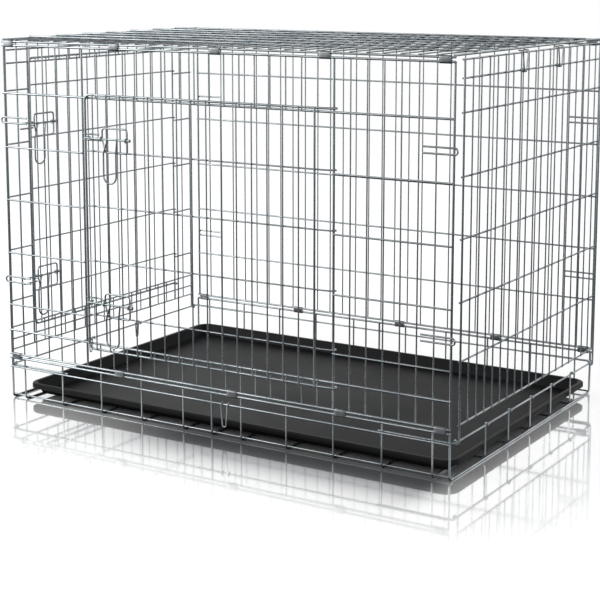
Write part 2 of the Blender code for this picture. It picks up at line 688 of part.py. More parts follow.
def brackets(opening):
    """The two latch brackets of a door, each with two rings that carry the bolt."""
    plane = opening.plane
    frames = []
    guides = []
    out = opening.frame_out + BRACKET_STEP
    start = opening.bracket
    end = start + BRACKET_LENGTH
    size = BOLT_RADIUS + GUIDE_RADIUS + GUIDE_GAP
    for bar in LATCH_BARS:
        low = opening.bars[bar]
        high = low + BRACKET_HEIGHT
        corners = [plane.at(start, low, out), plane.at(end, low, out),
                   plane.at(end, high, out), plane.at(start, high, out)]
        frames.append(rounded_ring(corners, BRACKET_CORNER))
        for a in (start, end):
            centre = plane.at(a, opening.bolt_z(bar), opening.frame_out + BOLT_STEP)
            guides.append(ring(centre, plane.out, plane.up, size, 0.0,
                               2 * pi * GUIDE_STEPS / (GUIDE_STEPS + 1), GUIDE_STEPS))
    return [wires(frames, BRACKET_RADIUS, closed=True),
            wires(guides, GUIDE_RADIUS, closed=True, level=THIN_STEPS)]


def latch(opening, name, carrier, bar):
    """A sliding bolt with its bent-in tip, headed tail and hanging handle."""
    plane = opening.plane
    z = opening.bolt_z(bar)
    out = opening.frame_out + BOLT_STEP
    tip, tail = opening.jamb + BOLT_TIP, opening.bracket + BOLT_TAIL
    rod = rounded([plane.at(tip, z, opening.post_out), plane.at(tip, z, out),
                   plane.at(tail, z, out)], 2 * BOLT_RADIUS)
    one = opening.bracket + HANDLE_START
    two = one + HANDLE_WIDTH
    low = z - HANDLE_DROP
    handle = rounded([plane.at(one, z, out), plane.at(one, low, out),
                      plane.at(two, low, out), plane.at(two, z, out)],
                     (HANDLE_WIDTH - HANDLE_NOSE) / 2, HANDLE_STEPS)
    head = [plane.at(tail, z, out), plane.at(tail + BOLT_HEAD_LENGTH, z, out)]
    solid = joined([
        wires([rod], BOLT_RADIUS),
        wires([handle], HANDLE_RADIUS, ridge=True),
        wires([head], BOLT_HEAD_RADIUS),
    ])
    return name_part(solid, name, GALVANISED, plane.at(tip, z, out), carrier)


def clip_section():
    """Centre line of a clip's sheet round two rails, from the inside face back to it.

    Places are (out, up) from the lower rail's centre.
    """
    radius = CLIP_INNER + CLIP_SHEET / 2
    steps = CLIP_STEPS
    half = pi / steps / 2
    wide = radius / cos(half)
    points = [(-radius, CLIP_LIP)]
    for step in range(steps):
        angle = pi + pi * (step + 0.5) / steps
        points.append((wide * cos(angle), wide * sin(angle)))
    for step in range(steps):
        angle = pi * (step + 0.5) / steps
        points.append((wide * cos(angle), RAIL_PAIR + wide * sin(angle)))
    points.append((-radius, RAIL_PAIR - CLIP_LIP))
    return points


def clip(plane, name, carrier, cell, low_z):
    """A bent sheet clip that holds two rails together, open on the inside."""
    shape = bmesh.new()
    edges = []
    centre = cell * PITCH
    rows = []
    for a in (centre - CLIP_LENGTH / 2, centre + CLIP_LENGTH / 2):
        rows.append([shape.verts.new(plane.at(a, low_z + up, out)) for out, up in clip_section()])
    for row in rows:
        edges += [shape.edges.new(pair) for pair in zip(row, row[1:])]
    bmesh.ops.bridge_loops(shape, edges=edges)
    bmesh.ops.recalc_face_normals(shape, faces=shape.faces)
    mesh = bpy.data.meshes.new(name)
    shape.to_mesh(mesh)
    shape.free()
    sheet = bpy.data.objects.new(name, mesh)
    bpy.context.scene.collection.objects.link(sheet)
    wall = sheet.modifiers.new("sheet", "SOLIDIFY")
    wall.thickness = CLIP_SHEET
    wall.offset = 0.0
    return name_part(sheet, name, ZINC_SHEET, plane.at(centre, low_z), carrier)


def hairpin(name, carrier, centre, along, out, width, drop, rail_radius):
    """A bent wire hook with two eyes round a rail and a closed lower end."""
    up = Vector((0, 0, 1))
    size = rail_radius + HAIRPIN_EYE_GAP + HOOK_RADIUS
    legs = []
    for side in (-1, 1):
        middle = centre + along * (side * width / 2)
        eye = ring(middle, out, up, size, EYE_SWEEP, -EYE_SWEEP, EYE_STEPS)
        legs.append((eye, middle + out * size - up * drop))
    path = (legs[0][0] + rounded([legs[0][0][-1], legs[0][1], legs[1][1], legs[1][0][-1]],
                                 HAIRPIN_CORNER)[1:-1] + legs[1][0][::-1])
    solid = wires([path], HOOK_RADIUS)
    return name_part(solid, name, GALVANISED, centre, carrier)


def roof_hook(plane, name, carrier, cell, bar_z):
    """A bent wire hook that turns on an end panel's bar and reaches under the roof's edge."""
    middle = cell * END_PITCH
    under = bar_z - LINE_RADIUS - HOOK_GAP - HOOK_RADIUS
    leg_out = END_RAIL_RADIUS - END_WELDED + HOOK_GAP + HOOK_RADIUS
    behind = -PASSING_LINE - LINE_RADIUS - HOOK_GAP - HOOK_RADIUS
    tip_out = LENGTH / 2 + RAIL_RADIUS + HOOK_GAP - END_PLANE_X
    path = []
    for side in (-1, 1):
        wide = middle + side * ROOF_HOOK_WIDTH / 2
        narrow = middle + side * ROOF_HOOK_FOOT / 2
        corners = [plane.at(wide, HOOK_TIP_Z, tip_out),
                   plane.at(wide, HOOK_TIP_Z, leg_out),
                   plane.at(narrow, under, leg_out),
                   plane.at(narrow, under, behind),
                   plane.at(narrow, bar_z + HOOK_RADIUS, behind)]
        path.append(corners)
    points = path[0] + path[1][::-1]
    solid = wires([rounded(points, ROOF_HOOK_CORNER / 2, HOOK_CORNER_STEPS)], HOOK_RADIUS)
    return name_part(solid, name, GALVANISED, plane.at(middle, bar_z, -PASSING_LINE), carrier)


def corner_outline(inset, z):
    """A rounded rectangle inside the tray's outer edge, at one height."""
    corner = TRAY_CORNER - inset
    left, right = TRAY_LEFT + inset, TRAY_RIGHT - inset
    half = TRAY_HALF_WIDTH - inset
    centres = ((right - corner, half - corner), (left + corner, half - corner),
               (left + corner, corner - half), (right - corner, corner - half))
    points = []
    for quarter, (x, y) in enumerate(centres):
        for step in range(TRAY_CORNER_STEPS + 1):
            angle = pi / 2 * (quarter + step / TRAY_CORNER_STEPS)
            points.append((x + corner * cos(angle), y + corner * sin(angle), z))
    return points


def tray(carrier):
    """The plastic tray: floor, leaning walls, flat rim and skirt, as one sheet."""
    middle = TRAY_SHEET / 2
    wall_top = TRAY_RIM_WIDTH
    rings = (
        corner_outline(middle, TRAY_SKIRT_Z),
        corner_outline(middle, TRAY_RIM_Z - middle),
        corner_outline(wall_top, TRAY_RIM_Z - middle),
        corner_outline(wall_top + TRAY_WALL_SLOPE, TRAY_FLOOR_Z + middle),
    )
    shape = bmesh.new()
    rows = [[shape.verts.new(point) for point in outline] for outline in rings]
    for outer, inner in zip(rows, rows[1:]):
        count = len(outer)
        for index in range(count):
            after = (index + 1) % count
            shape.faces.new((outer[index], outer[after], inner[after], inner[index]))
    shape.faces.new(rows[-1])
    bmesh.ops.recalc_face_normals(shape, faces=shape.faces)
    mesh = bpy.data.meshes.new("tray")
    shape.to_mesh(mesh)
    shape.free()
    solid = bpy.data.objects.new("tray", mesh)
    bpy.context.scene.collection.objects.link(solid)
    wall = solid.modifiers.new("sheet", "SOLIDIFY")
    wall.thickness = TRAY_SHEET
    wall.offset = 0.0
    wall.use_even_offset = True
    return name_part(solid, "tray", BLACK_PLASTIC, (0, 0, TRAY_FLOOR_Z), carrier)


def build():
    """Make every part of the crate, each on the part that carries it."""
    clear_scene()
    base = base_frame()
    tray(base)
    front = front_panel(base)
    back_panel(base)
    roof = roof_panel(front)
    left = left_end_panel(base)
    right = right_end_panel(base)
    front_door = door(FRONT_OPENING, "front_door", front)
    side_door = door(SIDE_OPENING, "side_door", left)
    for bar, place in zip(LATCH_BARS, ("lower", "upper")):
        latch(FRONT_OPENING, f"front_latch_{place}", front_door, bar)
        latch(SIDE_OPENING, f"side_latch_{place}", side_door, bar)
    for number, (base_cell, roof_cell) in enumerate(zip(BASE_CLIP_CELLS, ROOF_CLIP_CELLS), 1):
        clip(FRONT, f"base_clip_front_{number}", base, base_cell, BASE_RAIL_Z)
        clip(BACK, f"base_clip_back_{number}", base, base_cell, BASE_RAIL_Z)
        clip(FRONT, f"roof_clip_front_{number}", roof, roof_cell, PANEL_TOP_Z)
        clip(BACK, f"roof_clip_back_{number}", roof, roof_cell, PANEL_TOP_Z)
    for cell, place in zip(HOOK_CELLS, ("front", "back")):
        roof_hook(LEFT, f"roof_hook_left_{place}", left, cell, LEFT_HOOK_BAR_Z)
        roof_hook(RIGHT, f"roof_hook_right_{place}", right, cell, RIGHT_HOOK_BAR_Z)
        hairpin(f"tray_hook_{place}", base,
                LEFT.at(cell * END_PITCH, END_AXIS_Z, -END_EYE_RADIUS), LEFT.along, LEFT.out,
                TRAY_HOOK_WIDTH, END_AXIS_Z - TRAY_HOOK_BOTTOM_Z - HOOK_RADIUS, END_RAIL_RADIUS)
    hairpin("closing_hook", base,
            Vector((-LENGTH / 2 + CLOSING_HOOK_CELL * PITCH, -SECOND_RAIL_Y, SECOND_RAIL_Z)),
            FRONT.along, FRONT.out, CLOSING_HOOK_WIDTH,
            SECOND_RAIL_Z - CLOSING_HOOK_BOTTOM_Z - HOOK_RADIUS, SECOND_RAIL_RADIUS)


build()
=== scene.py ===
"""The folding wire dog crate as it is seen: round galvanised wires, welds, clips and tray.

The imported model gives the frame. Every piece here stands for one or more of its nodes, rides
on the same body and keeps the node's place. Lengths are in metres, the front faces -Y.
"""

import logging
from collections.abc import Iterable, Sequence
from dataclasses import dataclass, field
from enum import Enum
from math import cos, pi, radians, sin

import bmesh
import bpy
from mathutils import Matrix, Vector


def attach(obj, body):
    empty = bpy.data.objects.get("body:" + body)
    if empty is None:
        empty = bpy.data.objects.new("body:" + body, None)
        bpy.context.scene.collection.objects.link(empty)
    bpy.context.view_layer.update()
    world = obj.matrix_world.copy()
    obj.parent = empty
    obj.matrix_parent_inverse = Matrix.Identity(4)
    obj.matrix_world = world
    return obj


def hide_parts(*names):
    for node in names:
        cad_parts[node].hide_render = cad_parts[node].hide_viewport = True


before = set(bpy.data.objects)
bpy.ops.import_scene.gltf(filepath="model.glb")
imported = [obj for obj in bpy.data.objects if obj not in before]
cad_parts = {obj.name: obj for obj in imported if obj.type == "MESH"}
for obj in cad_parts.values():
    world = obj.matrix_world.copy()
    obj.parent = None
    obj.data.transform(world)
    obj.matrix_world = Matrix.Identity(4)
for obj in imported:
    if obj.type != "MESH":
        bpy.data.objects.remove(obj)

LOG = logging.getLogger("crate")
MM = 0.001
X, Y, UP = Vector((1.0, 0.0, 0.0)), Vector((0.0, 1.0, 0.0)), Vector((0.0, 0.0, 1.0))
WELD_ATTRIBUTE = "weld"
WIRE_SIDES = 12
SMOOTH_ANGLE = radians(42)
EDGE_ANGLE = radians(60)
EDGE_SEGMENTS = 2

Path = list[Vector]
Span = tuple[float, float]
Place = tuple[float, float, float]
Colour = tuple[float, float, float, float]


class Slot(Enum):
    """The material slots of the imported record."""

    WIRE = "galvanised_wire"
    SHEET = "zinc_sheet"
    PLASTIC = "black_plastic"


def shown(name: str, data: bpy.types.ID) -> bpy.types.Object:
    """Put a new object into the scene.

    Args:
        name: the object's name.
        data: its mesh, lamp or camera.

    Returns:
        The object.
    """
    item = bpy.data.objects.new(name, data)
    bpy.context.scene.collection.objects.link(item)
    return item


# ---------------------------------------------------------------- node trees


@dataclass(frozen=True)
class Value:
    """A socket in a Python expression; each operator adds its Math node."""

    graph: "Graph"
    socket: bpy.types.NodeSocket

    def math(self, operation: str, *others: "Value | float") -> "Value":
        """Run one Math operation on this value and the others."""
        values = dict(enumerate((self, *others)))
        return self.graph.value("ShaderNodeMath", {"operation": operation}, values)

    def __add__(self, other: "Value | float") -> "Value":
        """Add a value or a number."""
        return self.math("ADD", other)

    __radd__ = __add__

    def __sub__(self, other: "Value | float") -> "Value":
        """Take away a value or a number."""
        return self.math("SUBTRACT", other)

    def __rsub__(self, other: float) -> "Value":
        """Take this value from a number."""
        return self.math("MULTIPLY", -1.0).math("ADD", other)

    def __mul__(self, other: "Value | float") -> "Value":
        """Multiply by a value or a number."""
        return self.math("MULTIPLY", other)

    __rmul__ = __mul__

    def __pow__(self, power: float) -> "Value":
        """Raise to a power."""
        return self.math("POWER", power)

    def clamped(self) -> "Value":
        """Limit the value to the range from 0 to 1."""
        return self.math("MAXIMUM", 0.0).math("MINIMUM", 1.0)

    def step(self, low: float, high: float) -> "Value":
        """Rise smoothly from 0 at low to 1 at high."""
        return self.graph.value("ShaderNodeMapRange", {"interpolation_type": "SMOOTHSTEP"},
                                {"Value": self, "From Min": low, "From Max": high})


@dataclass(frozen=True)
class Noise:
    """A noise pattern.

    Attributes:
        scale: cells to the metre.
        detail: octaves.
        rough: weight of the finer octaves.
        stretch: factors of the coordinates, for a pattern with a direction.
    """

    scale: float
    detail: float = 2.0
    rough: float = 0.5
    stretch: Place = (1.0, 1.0, 1.0)


class Graph:
    """A node tree that is being built."""

    def __init__(self, tree: bpy.types.NodeTree) -> None:
        """Take over a tree and empty it."""
        self.tree = tree
        tree.nodes.clear()

    def add(self, kind: str, settings: dict | None = None,
            values: dict | None = None) -> bpy.types.Node:
        """Add a node, set it up and feed its sockets.

        Args:
            kind: the node's type.
            settings: its properties, set first.
            values: constants or links for its inputs, by name or index.

        Returns:
            The node.
        """
        node = self.tree.nodes.new(kind)
        for name, setting in (settings or {}).items():
            setattr(node, name, setting)
        for key, value in (values or {}).items():
            source = value.socket if isinstance(value, Value) else value
            if isinstance(source, bpy.types.NodeSocket):
                self.tree.links.new(source, node.inputs[key])
            else:
                node.inputs[key].default_value = source
        return node

    def value(self, kind: str, settings: dict | None = None, values: dict | None = None,
              output: str | int = 0) -> Value:
        """Add a node and take one of its outputs as a value."""
        return Value(self, self.add(kind, settings, values).outputs[output])

    def axes(self, coordinates: str) -> list[Value]:
        """Split texture coordinates.

        Args:
            coordinates: their kind.

        Returns:
            The x, y and z.
        """
        place = self.add("ShaderNodeTexCoord").outputs[coordinates]
        split = self.add("ShaderNodeSeparateXYZ", {}, {0: place})
        return [Value(self, socket) for socket in split.outputs]

    def noise(self, pattern: Noise) -> Value:
        """A noise pattern over the object coordinates, with values from about 0 to 1.

        Args:
            pattern: what it looks like.

        Returns:
            The pattern's value.
        """
        place = self.add("ShaderNodeTexCoord").outputs["Object"]
        stretched = self.add("ShaderNodeMapping", {}, {
            "Vector": place, "Scale": pattern.stretch}).outputs[0]
        return self.value("ShaderNodeTexNoise", {}, {
            "Vector": stretched, "Scale": pattern.scale, "Detail": pattern.detail,
            "Roughness": pattern.rough}, "Fac")

    def mix(self, factor: Value, one: object, two: object) -> bpy.types.NodeSocket:
        """Blend from one colour to a second."""
        return self.add("ShaderNodeMix", {"data_type": "RGBA"},
                        {0: factor, 6: one, 7: two}).outputs[2]

    def bump(self, height: Value, distance: float, strength: float) -> bpy.types.NodeSocket:
        """A normal from a height pattern, whose 1 stands for a distance in metres."""
        return self.add("ShaderNodeBump", {}, {
            "Height": height, "Distance": distance, "Strength": strength}).outputs[0]


# ------------------------------------------------------------------ finishes


class Finish:
    """A procedural material, whose shader each finish builds."""

    name: str

    def shader(self, graph: Graph) -> bpy.types.Node:
        """Add the finish's shader to the material's graph."""
        raise NotImplementedError

    def material(self) -> bpy.types.Material:
        """Build the material.

        Returns:
            The material.
        """
        material = bpy.data.materials.new(self.name)
        material.use_nodes = True
        graph = Graph(material.node_tree)
        shader = self.shader(graph)
        graph.add("ShaderNodeOutputMaterial", {}, {"Surface": shader.outputs[0]})
        return material


@dataclass(frozen=True)
class GalvanisedFinish(Finish):
    """Drawn and galvanised steel wire: mottled zinc, with burnt grey at the welds."""

    name: str = "bright_galvanised_wire"
    bright: Colour = (0.62, 0.665, 0.69, 1.0)
    dull: Colour = (0.335, 0.385, 0.41, 1.0)
    tint: Colour = (0.62, 0.575, 0.47, 1.0)
    burnt: Colour = (0.20, 0.19, 0.175, 1.0)
    patches: Noise = Noise(14.0, 3.0)
    patch_rise: Span = (0.35, 0.68)
    patch_share: float = 0.75
    spangle: Noise = Noise(260.0, 3.0, 0.6)
    spangle_rise: Span = (0.3, 0.7)
    grain: Noise = Noise(1500.0)
    stains: Noise = Noise(33.0, 4.0, 0.65)
    stain_rise: Span = (0.56, 0.74)
    tint_share: float = 0.32
    burnt_share: float = 0.6
    smooth: float = 0.18
    rough: float = 0.30
    grain_rough: float = 0.06
    weld_rough: float = 0.15
    spangle_height: float = 0.6
    bump: Span = (0.00035, 0.09)

    def shader(self, graph: Graph) -> bpy.types.Node:
        """Add the wire's shader.

        Args:
            graph: the material's tree.

        Returns:
            The shader.
        """
        patches, spangle, grain, stains = (
            graph.noise(pattern) for pattern in (self.patches, self.spangle, self.grain,
                                                 self.stains))
        weld = graph.value("ShaderNodeAttribute", {"attribute_name": WELD_ATTRIBUTE},
                           output="Fac")
        zinc = (patches.step(*self.patch_rise) * self.patch_share
                + spangle.step(*self.spangle_rise) * (1.0 - self.patch_share)).clamped()
        stained = (stains.step(*self.stain_rise) * self.tint_share).clamped()
        metal = graph.mix(stained, graph.mix(zinc, self.dull, self.bright), self.tint)
        roughness = (self.rough - zinc * (self.rough - self.smooth)
                     + grain * self.grain_rough + weld * self.weld_rough)
        height = spangle * self.spangle_height + grain * (1.0 - self.spangle_height)
        return graph.add("ShaderNodeBsdfPrincipled", {}, {
            "Base Color": graph.mix(weld * self.burnt_share, metal, self.burnt),
            "Metallic": 1.0,
            "Roughness": roughness,
            "Normal": graph.bump(height, *self.bump),
        })


@dataclass(frozen=True)
class SheetFinish(Finish):
    """Zinc plated sheet: fine brush lines along the crate and duller patches."""

    name: str = "plated_clip_sheet"
    bright: Colour = (0.42, 0.44, 0.45, 1.0)
    dull: Colour = (0.20, 0.215, 0.23, 1.0)
    lines: Noise = Noise(900.0, 3.0, 0.6, (0.04, 1.0, 1.0))
    line_share: float = 0.5
    line_rough: float = 0.14
    patches: Noise = Noise(60.0, 3.0)
    patch_rise: Span = (0.3, 0.7)
    roughness: float = 0.30
    bump: Span = (0.0002, 0.5)

    def shader(self, graph: Graph) -> bpy.types.Node:
        """Add the sheet's shader.

        Args:
            graph: the material's tree.

        Returns:
            The shader.
        """
        lines, patches = graph.noise(self.lines), graph.noise(self.patches)
        mixed = (lines * self.line_share
                 + patches.step(*self.patch_rise) * (1.0 - self.line_share)).clamped()
        return graph.add("ShaderNodeBsdfPrincipled", {}, {
            "Base Color": graph.mix(mixed, self.dull, self.bright),
            "Metallic": 1.0,
            "Roughness": self.roughness + lines * self.line_rough,
            "Normal": graph.bump(lines, *self.bump),
        })


@dataclass(frozen=True)
class PlasticFinish(Finish):
    """Black moulded plastic: satin skin with a fine grain and light rubbing."""

    name: str = "black_tray_plastic"
    base: Colour = (0.007, 0.007, 0.0075, 1.0)
    rubbed: Colour = (0.018, 0.018, 0.0195, 1.0)
    grain: Noise = Noise(1100.0)
    haze: Noise = Noise(5.0, 3.0)
    haze_rise: Span = (0.4, 0.7)
    haze_share: float = 0.35
    scuffs: Noise = Noise(55.0, 5.0, 0.7, (0.25, 1.0, 1.0))
    scuff_rise: Span = (0.58, 0.78)
    scuff_share: float = 0.5
    roughness: float = 0.36
    haze_rough: float = 0.10
    rubbed_rough: float = 0.08
    specular: float = 0.11
    bump: Span = (0.00025, 0.45)

    def shader(self, graph: Graph) -> bpy.types.Node:
        """Add the plastic's shader.

        Args:
            graph: the material's tree.

        Returns:
            The shader.
        """
        haze, scuffs = graph.noise(self.haze), graph.noise(self.scuffs)
        rubbing = (scuffs.step(*self.scuff_rise) * self.scuff_share
                   + haze.step(*self.haze_rise) * self.haze_share).clamped()
        roughness = self.roughness + haze * self.haze_rough + rubbing * self.rubbed_rough
        return graph.add("ShaderNodeBsdfPrincipled", {}, {
            "Base Color": graph.mix(rubbing, self.base, self.rubbed),
            "Roughness": roughness,
            "Specular IOR Level": self.specular,
            "Normal": graph.bump(graph.noise(self.grain), *self.bump),
        })


@dataclass(frozen=True)
class FloorFinish(Finish):
    """A white floor that mirrors what stands on it near the crate, with a painted shadow at its
    front.

    Attributes:
        light_gloss: what the wires mirror of the floor far out at the left.
        dark_gloss: what they mirror of the rest of it.
        gloss_way: the left's direction, as factors of x and y.
        gloss_rise: distances that way over which the dark turns light.
        shaded: the grey of the shadow painted on the floor before the crate's front.
        shade_end: where that painted shadow fades, along x.
        grazing: how flat a view is where the mirror starts and where it is full.
    """

    name: str = "white_floor_with_painted_shadow"
    colour: Colour = (1.0, 1.0, 1.0, 1.0)
    dark_gloss: Colour = (0.035, 0.04, 0.045, 1.0)
    light_gloss: Colour = (0.95, 0.95, 0.95, 1.0)
    gloss_way: Span = (-0.85, 0.3)
    gloss_rise: Span = (1.0, 2.3)
    shaded: Colour = (0.14, 0.145, 0.155, 1.0)
    shade_depth: float = 0.9
    shade_reach: float = 0.30
    shade_edge: float = 0.1
    shade_end: Span = (0.54, 0.66)
    mirror: float = 0.74
    mirror_rough: float = 0.05
    grazing: Span = (0.3, 0.7)
    reach: float = 0.46
    half_length: float = 0.59
    half_width: float = 0.40

    def shader(self, graph: Graph) -> bpy.types.Node:
        """Add the floor's shader.

        Args:
            graph: the material's tree.

        Returns:
            The shader.
        """
        x, y, _ = graph.axes("Object")
        across = (x.math("ABSOLUTE") - self.half_length).math("MAXIMUM", 0.0)
        along = (y.math("ABSOLUTE") - self.half_width).math("MAXIMUM", 0.0)
        distance = (across * across + along * along) ** 0.5
        facing = graph.value("ShaderNodeLayerWeight", output="Facing")
        share = (1.0 - distance.step(0.0, self.reach)) * facing.step(*self.grazing) * self.mirror

        # Painted shadow: the floor's colour, and its mirror's, turn grey close to the crate's
        # front.
        before = 1.0 - y.step(-self.half_width, self.shade_edge - self.half_width)
        inside = x.step(-self.half_length, 0.0) * (1.0 - x.step(*self.shade_end))
        shade = (1.0 - distance.step(0.0, self.shade_reach)) * before * inside
        near = graph.mix(shade * shade * self.shade_depth, self.colour, self.shaded)

        lit = x * self.gloss_way[0] + y * self.gloss_way[1]
        gloss = graph.mix(lit.step(*self.gloss_rise), self.dark_gloss, self.light_gloss)
        glossy = graph.value("ShaderNodeLightPath", output="Is Glossy Ray")
        white = graph.add("ShaderNodeBsdfDiffuse", {}, {"Color": graph.mix(glossy, near, gloss)})
        sheen = graph.add("ShaderNodeBsdfAnisotropic", {},
                          {"Color": near, "Roughness": self.mirror_rough})
        return graph.add("ShaderNodeMixShader", {},
                         {0: share, 1: white.outputs[0], 2: sheen.outputs[0]})


# --------------------------------------------------------------- sizes, grid


@dataclass(frozen=True)
class CrateSizes:
    """The sizes of the crate that several pieces share."""

    length: float = 1160 * MM
    width: float = 770 * MM
    long_cells: int = 30
    end_width: float = 730 * MM
    end_cells: int = 19
    thin: float = 1.6 * MM
    line: float = 2.0 * MM
    rail: float = 2.5 * MM
    end_rail: float = 2.0 * MM
    end_post: float = 2.2 * MM
    weld: float = 0.5 * MM
    bead: float = 1.7 * MM
    gap: float = 0.3 * MM
    wire_end: float = 1.0 * MM
    base_rail_z: float = 100 * MM
    rail_pair: float = 9 * MM
    second_rail_z: float = 78 * MM
    end_axis_z: float = 79.5 * MM
    roof_rail_z: float = 850.5 * MM
    bars: tuple[float, ...] = (229 * MM, 354 * MM, 480 * MM, 605 * MM, 731 * MM)
    sill_z: float = 167 * MM
    end_out: float = 7.5 * MM
    eye_gap: float = 0.8 * MM
    eye_sweep: float = radians(240)
    eye_steps: int = 22

    @property
    def welded(self) -> float:
        """Distance from a long panel's rails to its uprights."""
        return self.rail + self.thin - self.weld

    @property
    def passing(self) -> float:
        """Distance from a panel's uprights to its cross wires."""
        return self.thin + self.line + self.gap

    @property
    def end_welded(self) -> float:
        """Distance from an end panel's rails to its uprights."""
        return self.end_rail + self.thin - self.weld

    @property
    def panel_bottom(self) -> float:
        """Height of the lower rail of the long panels."""
        return self.base_rail_z + self.rail_pair

    @property
    def panel_top(self) -> float:
        """Height of the upper rail of the long panels."""
        return self.roof_rail_z - self.rail_pair

    @property
    def end_axis_x(self) -> float:
        """Distance of the base's end rails from the middle."""
        return self.length / 2 + self.end_out

    @property
    def end_eye(self) -> float:
        """Radius of the eyes that an end panel hangs by."""
        return self.end_rail + self.end_post + self.eye_gap

    @property
    def end_plane_x(self) -> float:
        """Distance of an end panel's uprights from the middle."""
        return self.end_axis_x + self.end_eye


SIZES = CrateSizes()


@dataclass(frozen=True)
class Plane:
    """A panel's sheet of wires, with places given along, up and out, on a grid of cells."""

    origin: Vector
    along: Vector
    up: Vector
    out: Vector
    length: float
    cells: int

    @property
    def pitch(self) -> float:
        """Distance between two grid lines."""
        return self.length / self.cells

    def at(self, a: float, u: float, n: float = 0.0) -> Vector:
        """The world point a along, u up and n out."""
        return self.origin + self.along * a + self.up * u + self.out * n

    def through(self, places: Iterable[Span], n: float = 0.0) -> Path:
        """The path through places along and up, all n out."""
        return [self.at(a, u, n) for a, u in places]

    def upright(self, a: float, low: float, high: float, n: float = 0.0) -> Path:
        """The path of a straight wire from low to high."""
        return self.through(((a, low), (a, high)), n)

    def level(self, start: float, end: float, u: float, n: float = 0.0) -> Path:
        """The path of a straight wire from start to end along."""
        return self.through(((start, u), (end, u)), n)

    def crossings(self, lines: Iterable[int], heights: Sequence[float], n: float) -> Path:
        """The places where grid lines cross level wires."""
        return [self.at(line * self.pitch, z, n) for line in lines for z in heights]


def long_plane(side: int, up: Vector, out: Vector) -> Plane:
    """A plane from the left corner of the front at -1, or of the back at 1."""
    corner = Vector((-SIZES.length / 2, side * SIZES.width / 2, 0.0))
    return Plane(corner, X, up, out, SIZES.length, SIZES.long_cells)


def end_plane(side: int) -> Plane:
    """The plane of the left end at -1, or of the right end at 1."""
    corner = Vector((side * SIZES.end_plane_x, -SIZES.end_width / 2, 0.0))
    return Plane(corner, Y, UP, X * side, SIZES.end_width, SIZES.end_cells)


FRONT, BACK, ROOF = long_plane(-1, UP, -Y), long_plane(1, UP, -Y), long_plane(-1, Y, UP)
LEFT, RIGHT = end_plane(-1), end_plane(1)


# --------------------------------------------------------------------- paths


def arc(before: Vector, corner: Vector, after: Vector, radius: float, steps: int) -> Path:
    """Points of the arc that rounds one corner.

    Args:
        before: the point ahead of the corner.
        corner: the corner.
        after: the point behind it.
        radius: of the arc.
        steps: its straight pieces.

    Returns:
        The points from the arc's start to its end.
    """
    back, ahead = (before - corner).normalized(), (after - corner).normalized()
    half = back.angle(ahead) / 2
    reach = radius * cos(half) / sin(half)
    centre = corner + (back + ahead).normalized() * (radius / sin(half))
    start, end = corner + back * reach - centre, corner + ahead * reach - centre
    turn = start.angle(end)
    return [centre + (start * sin((1 - step / steps) * turn) + end * sin(step / steps * turn))
            / sin(turn) for step in range(steps + 1)]


def rounded(points: Sequence[Vector], radius: float, steps: int = 7,
            closed: bool = False) -> Path:
    """The path through the points with each inner corner bent.

    Args:
        points: the corners.
        radius: of each bend.
        steps: straight pieces of each bend.
        closed: whether it is a loop, where every corner is bent.

    Returns:
        The path, a loop without its first point again.
    """
    ring = [points[-1], *points, points[0]] if closed else points
    bends = [point for trio in zip(ring, ring[1:], ring[2:])
             for point in arc(*trio, radius, steps)]
    return bends if closed else [points[0], *bends, points[-1]]


def turned(centre: Vector, one: Vector, two: Vector, radius: float, sweep: float, steps: int,
           start: float = 0.0) -> Path:
    """Points round a centre, from direction one at angle 0 towards direction two."""
    angles = [start + sweep * step / steps for step in range(steps + 1)]
    return [centre + one * (radius * cos(a)) + two * (radius * sin(a)) for a in angles]


# ------------------------------------------------------------ geometry trees


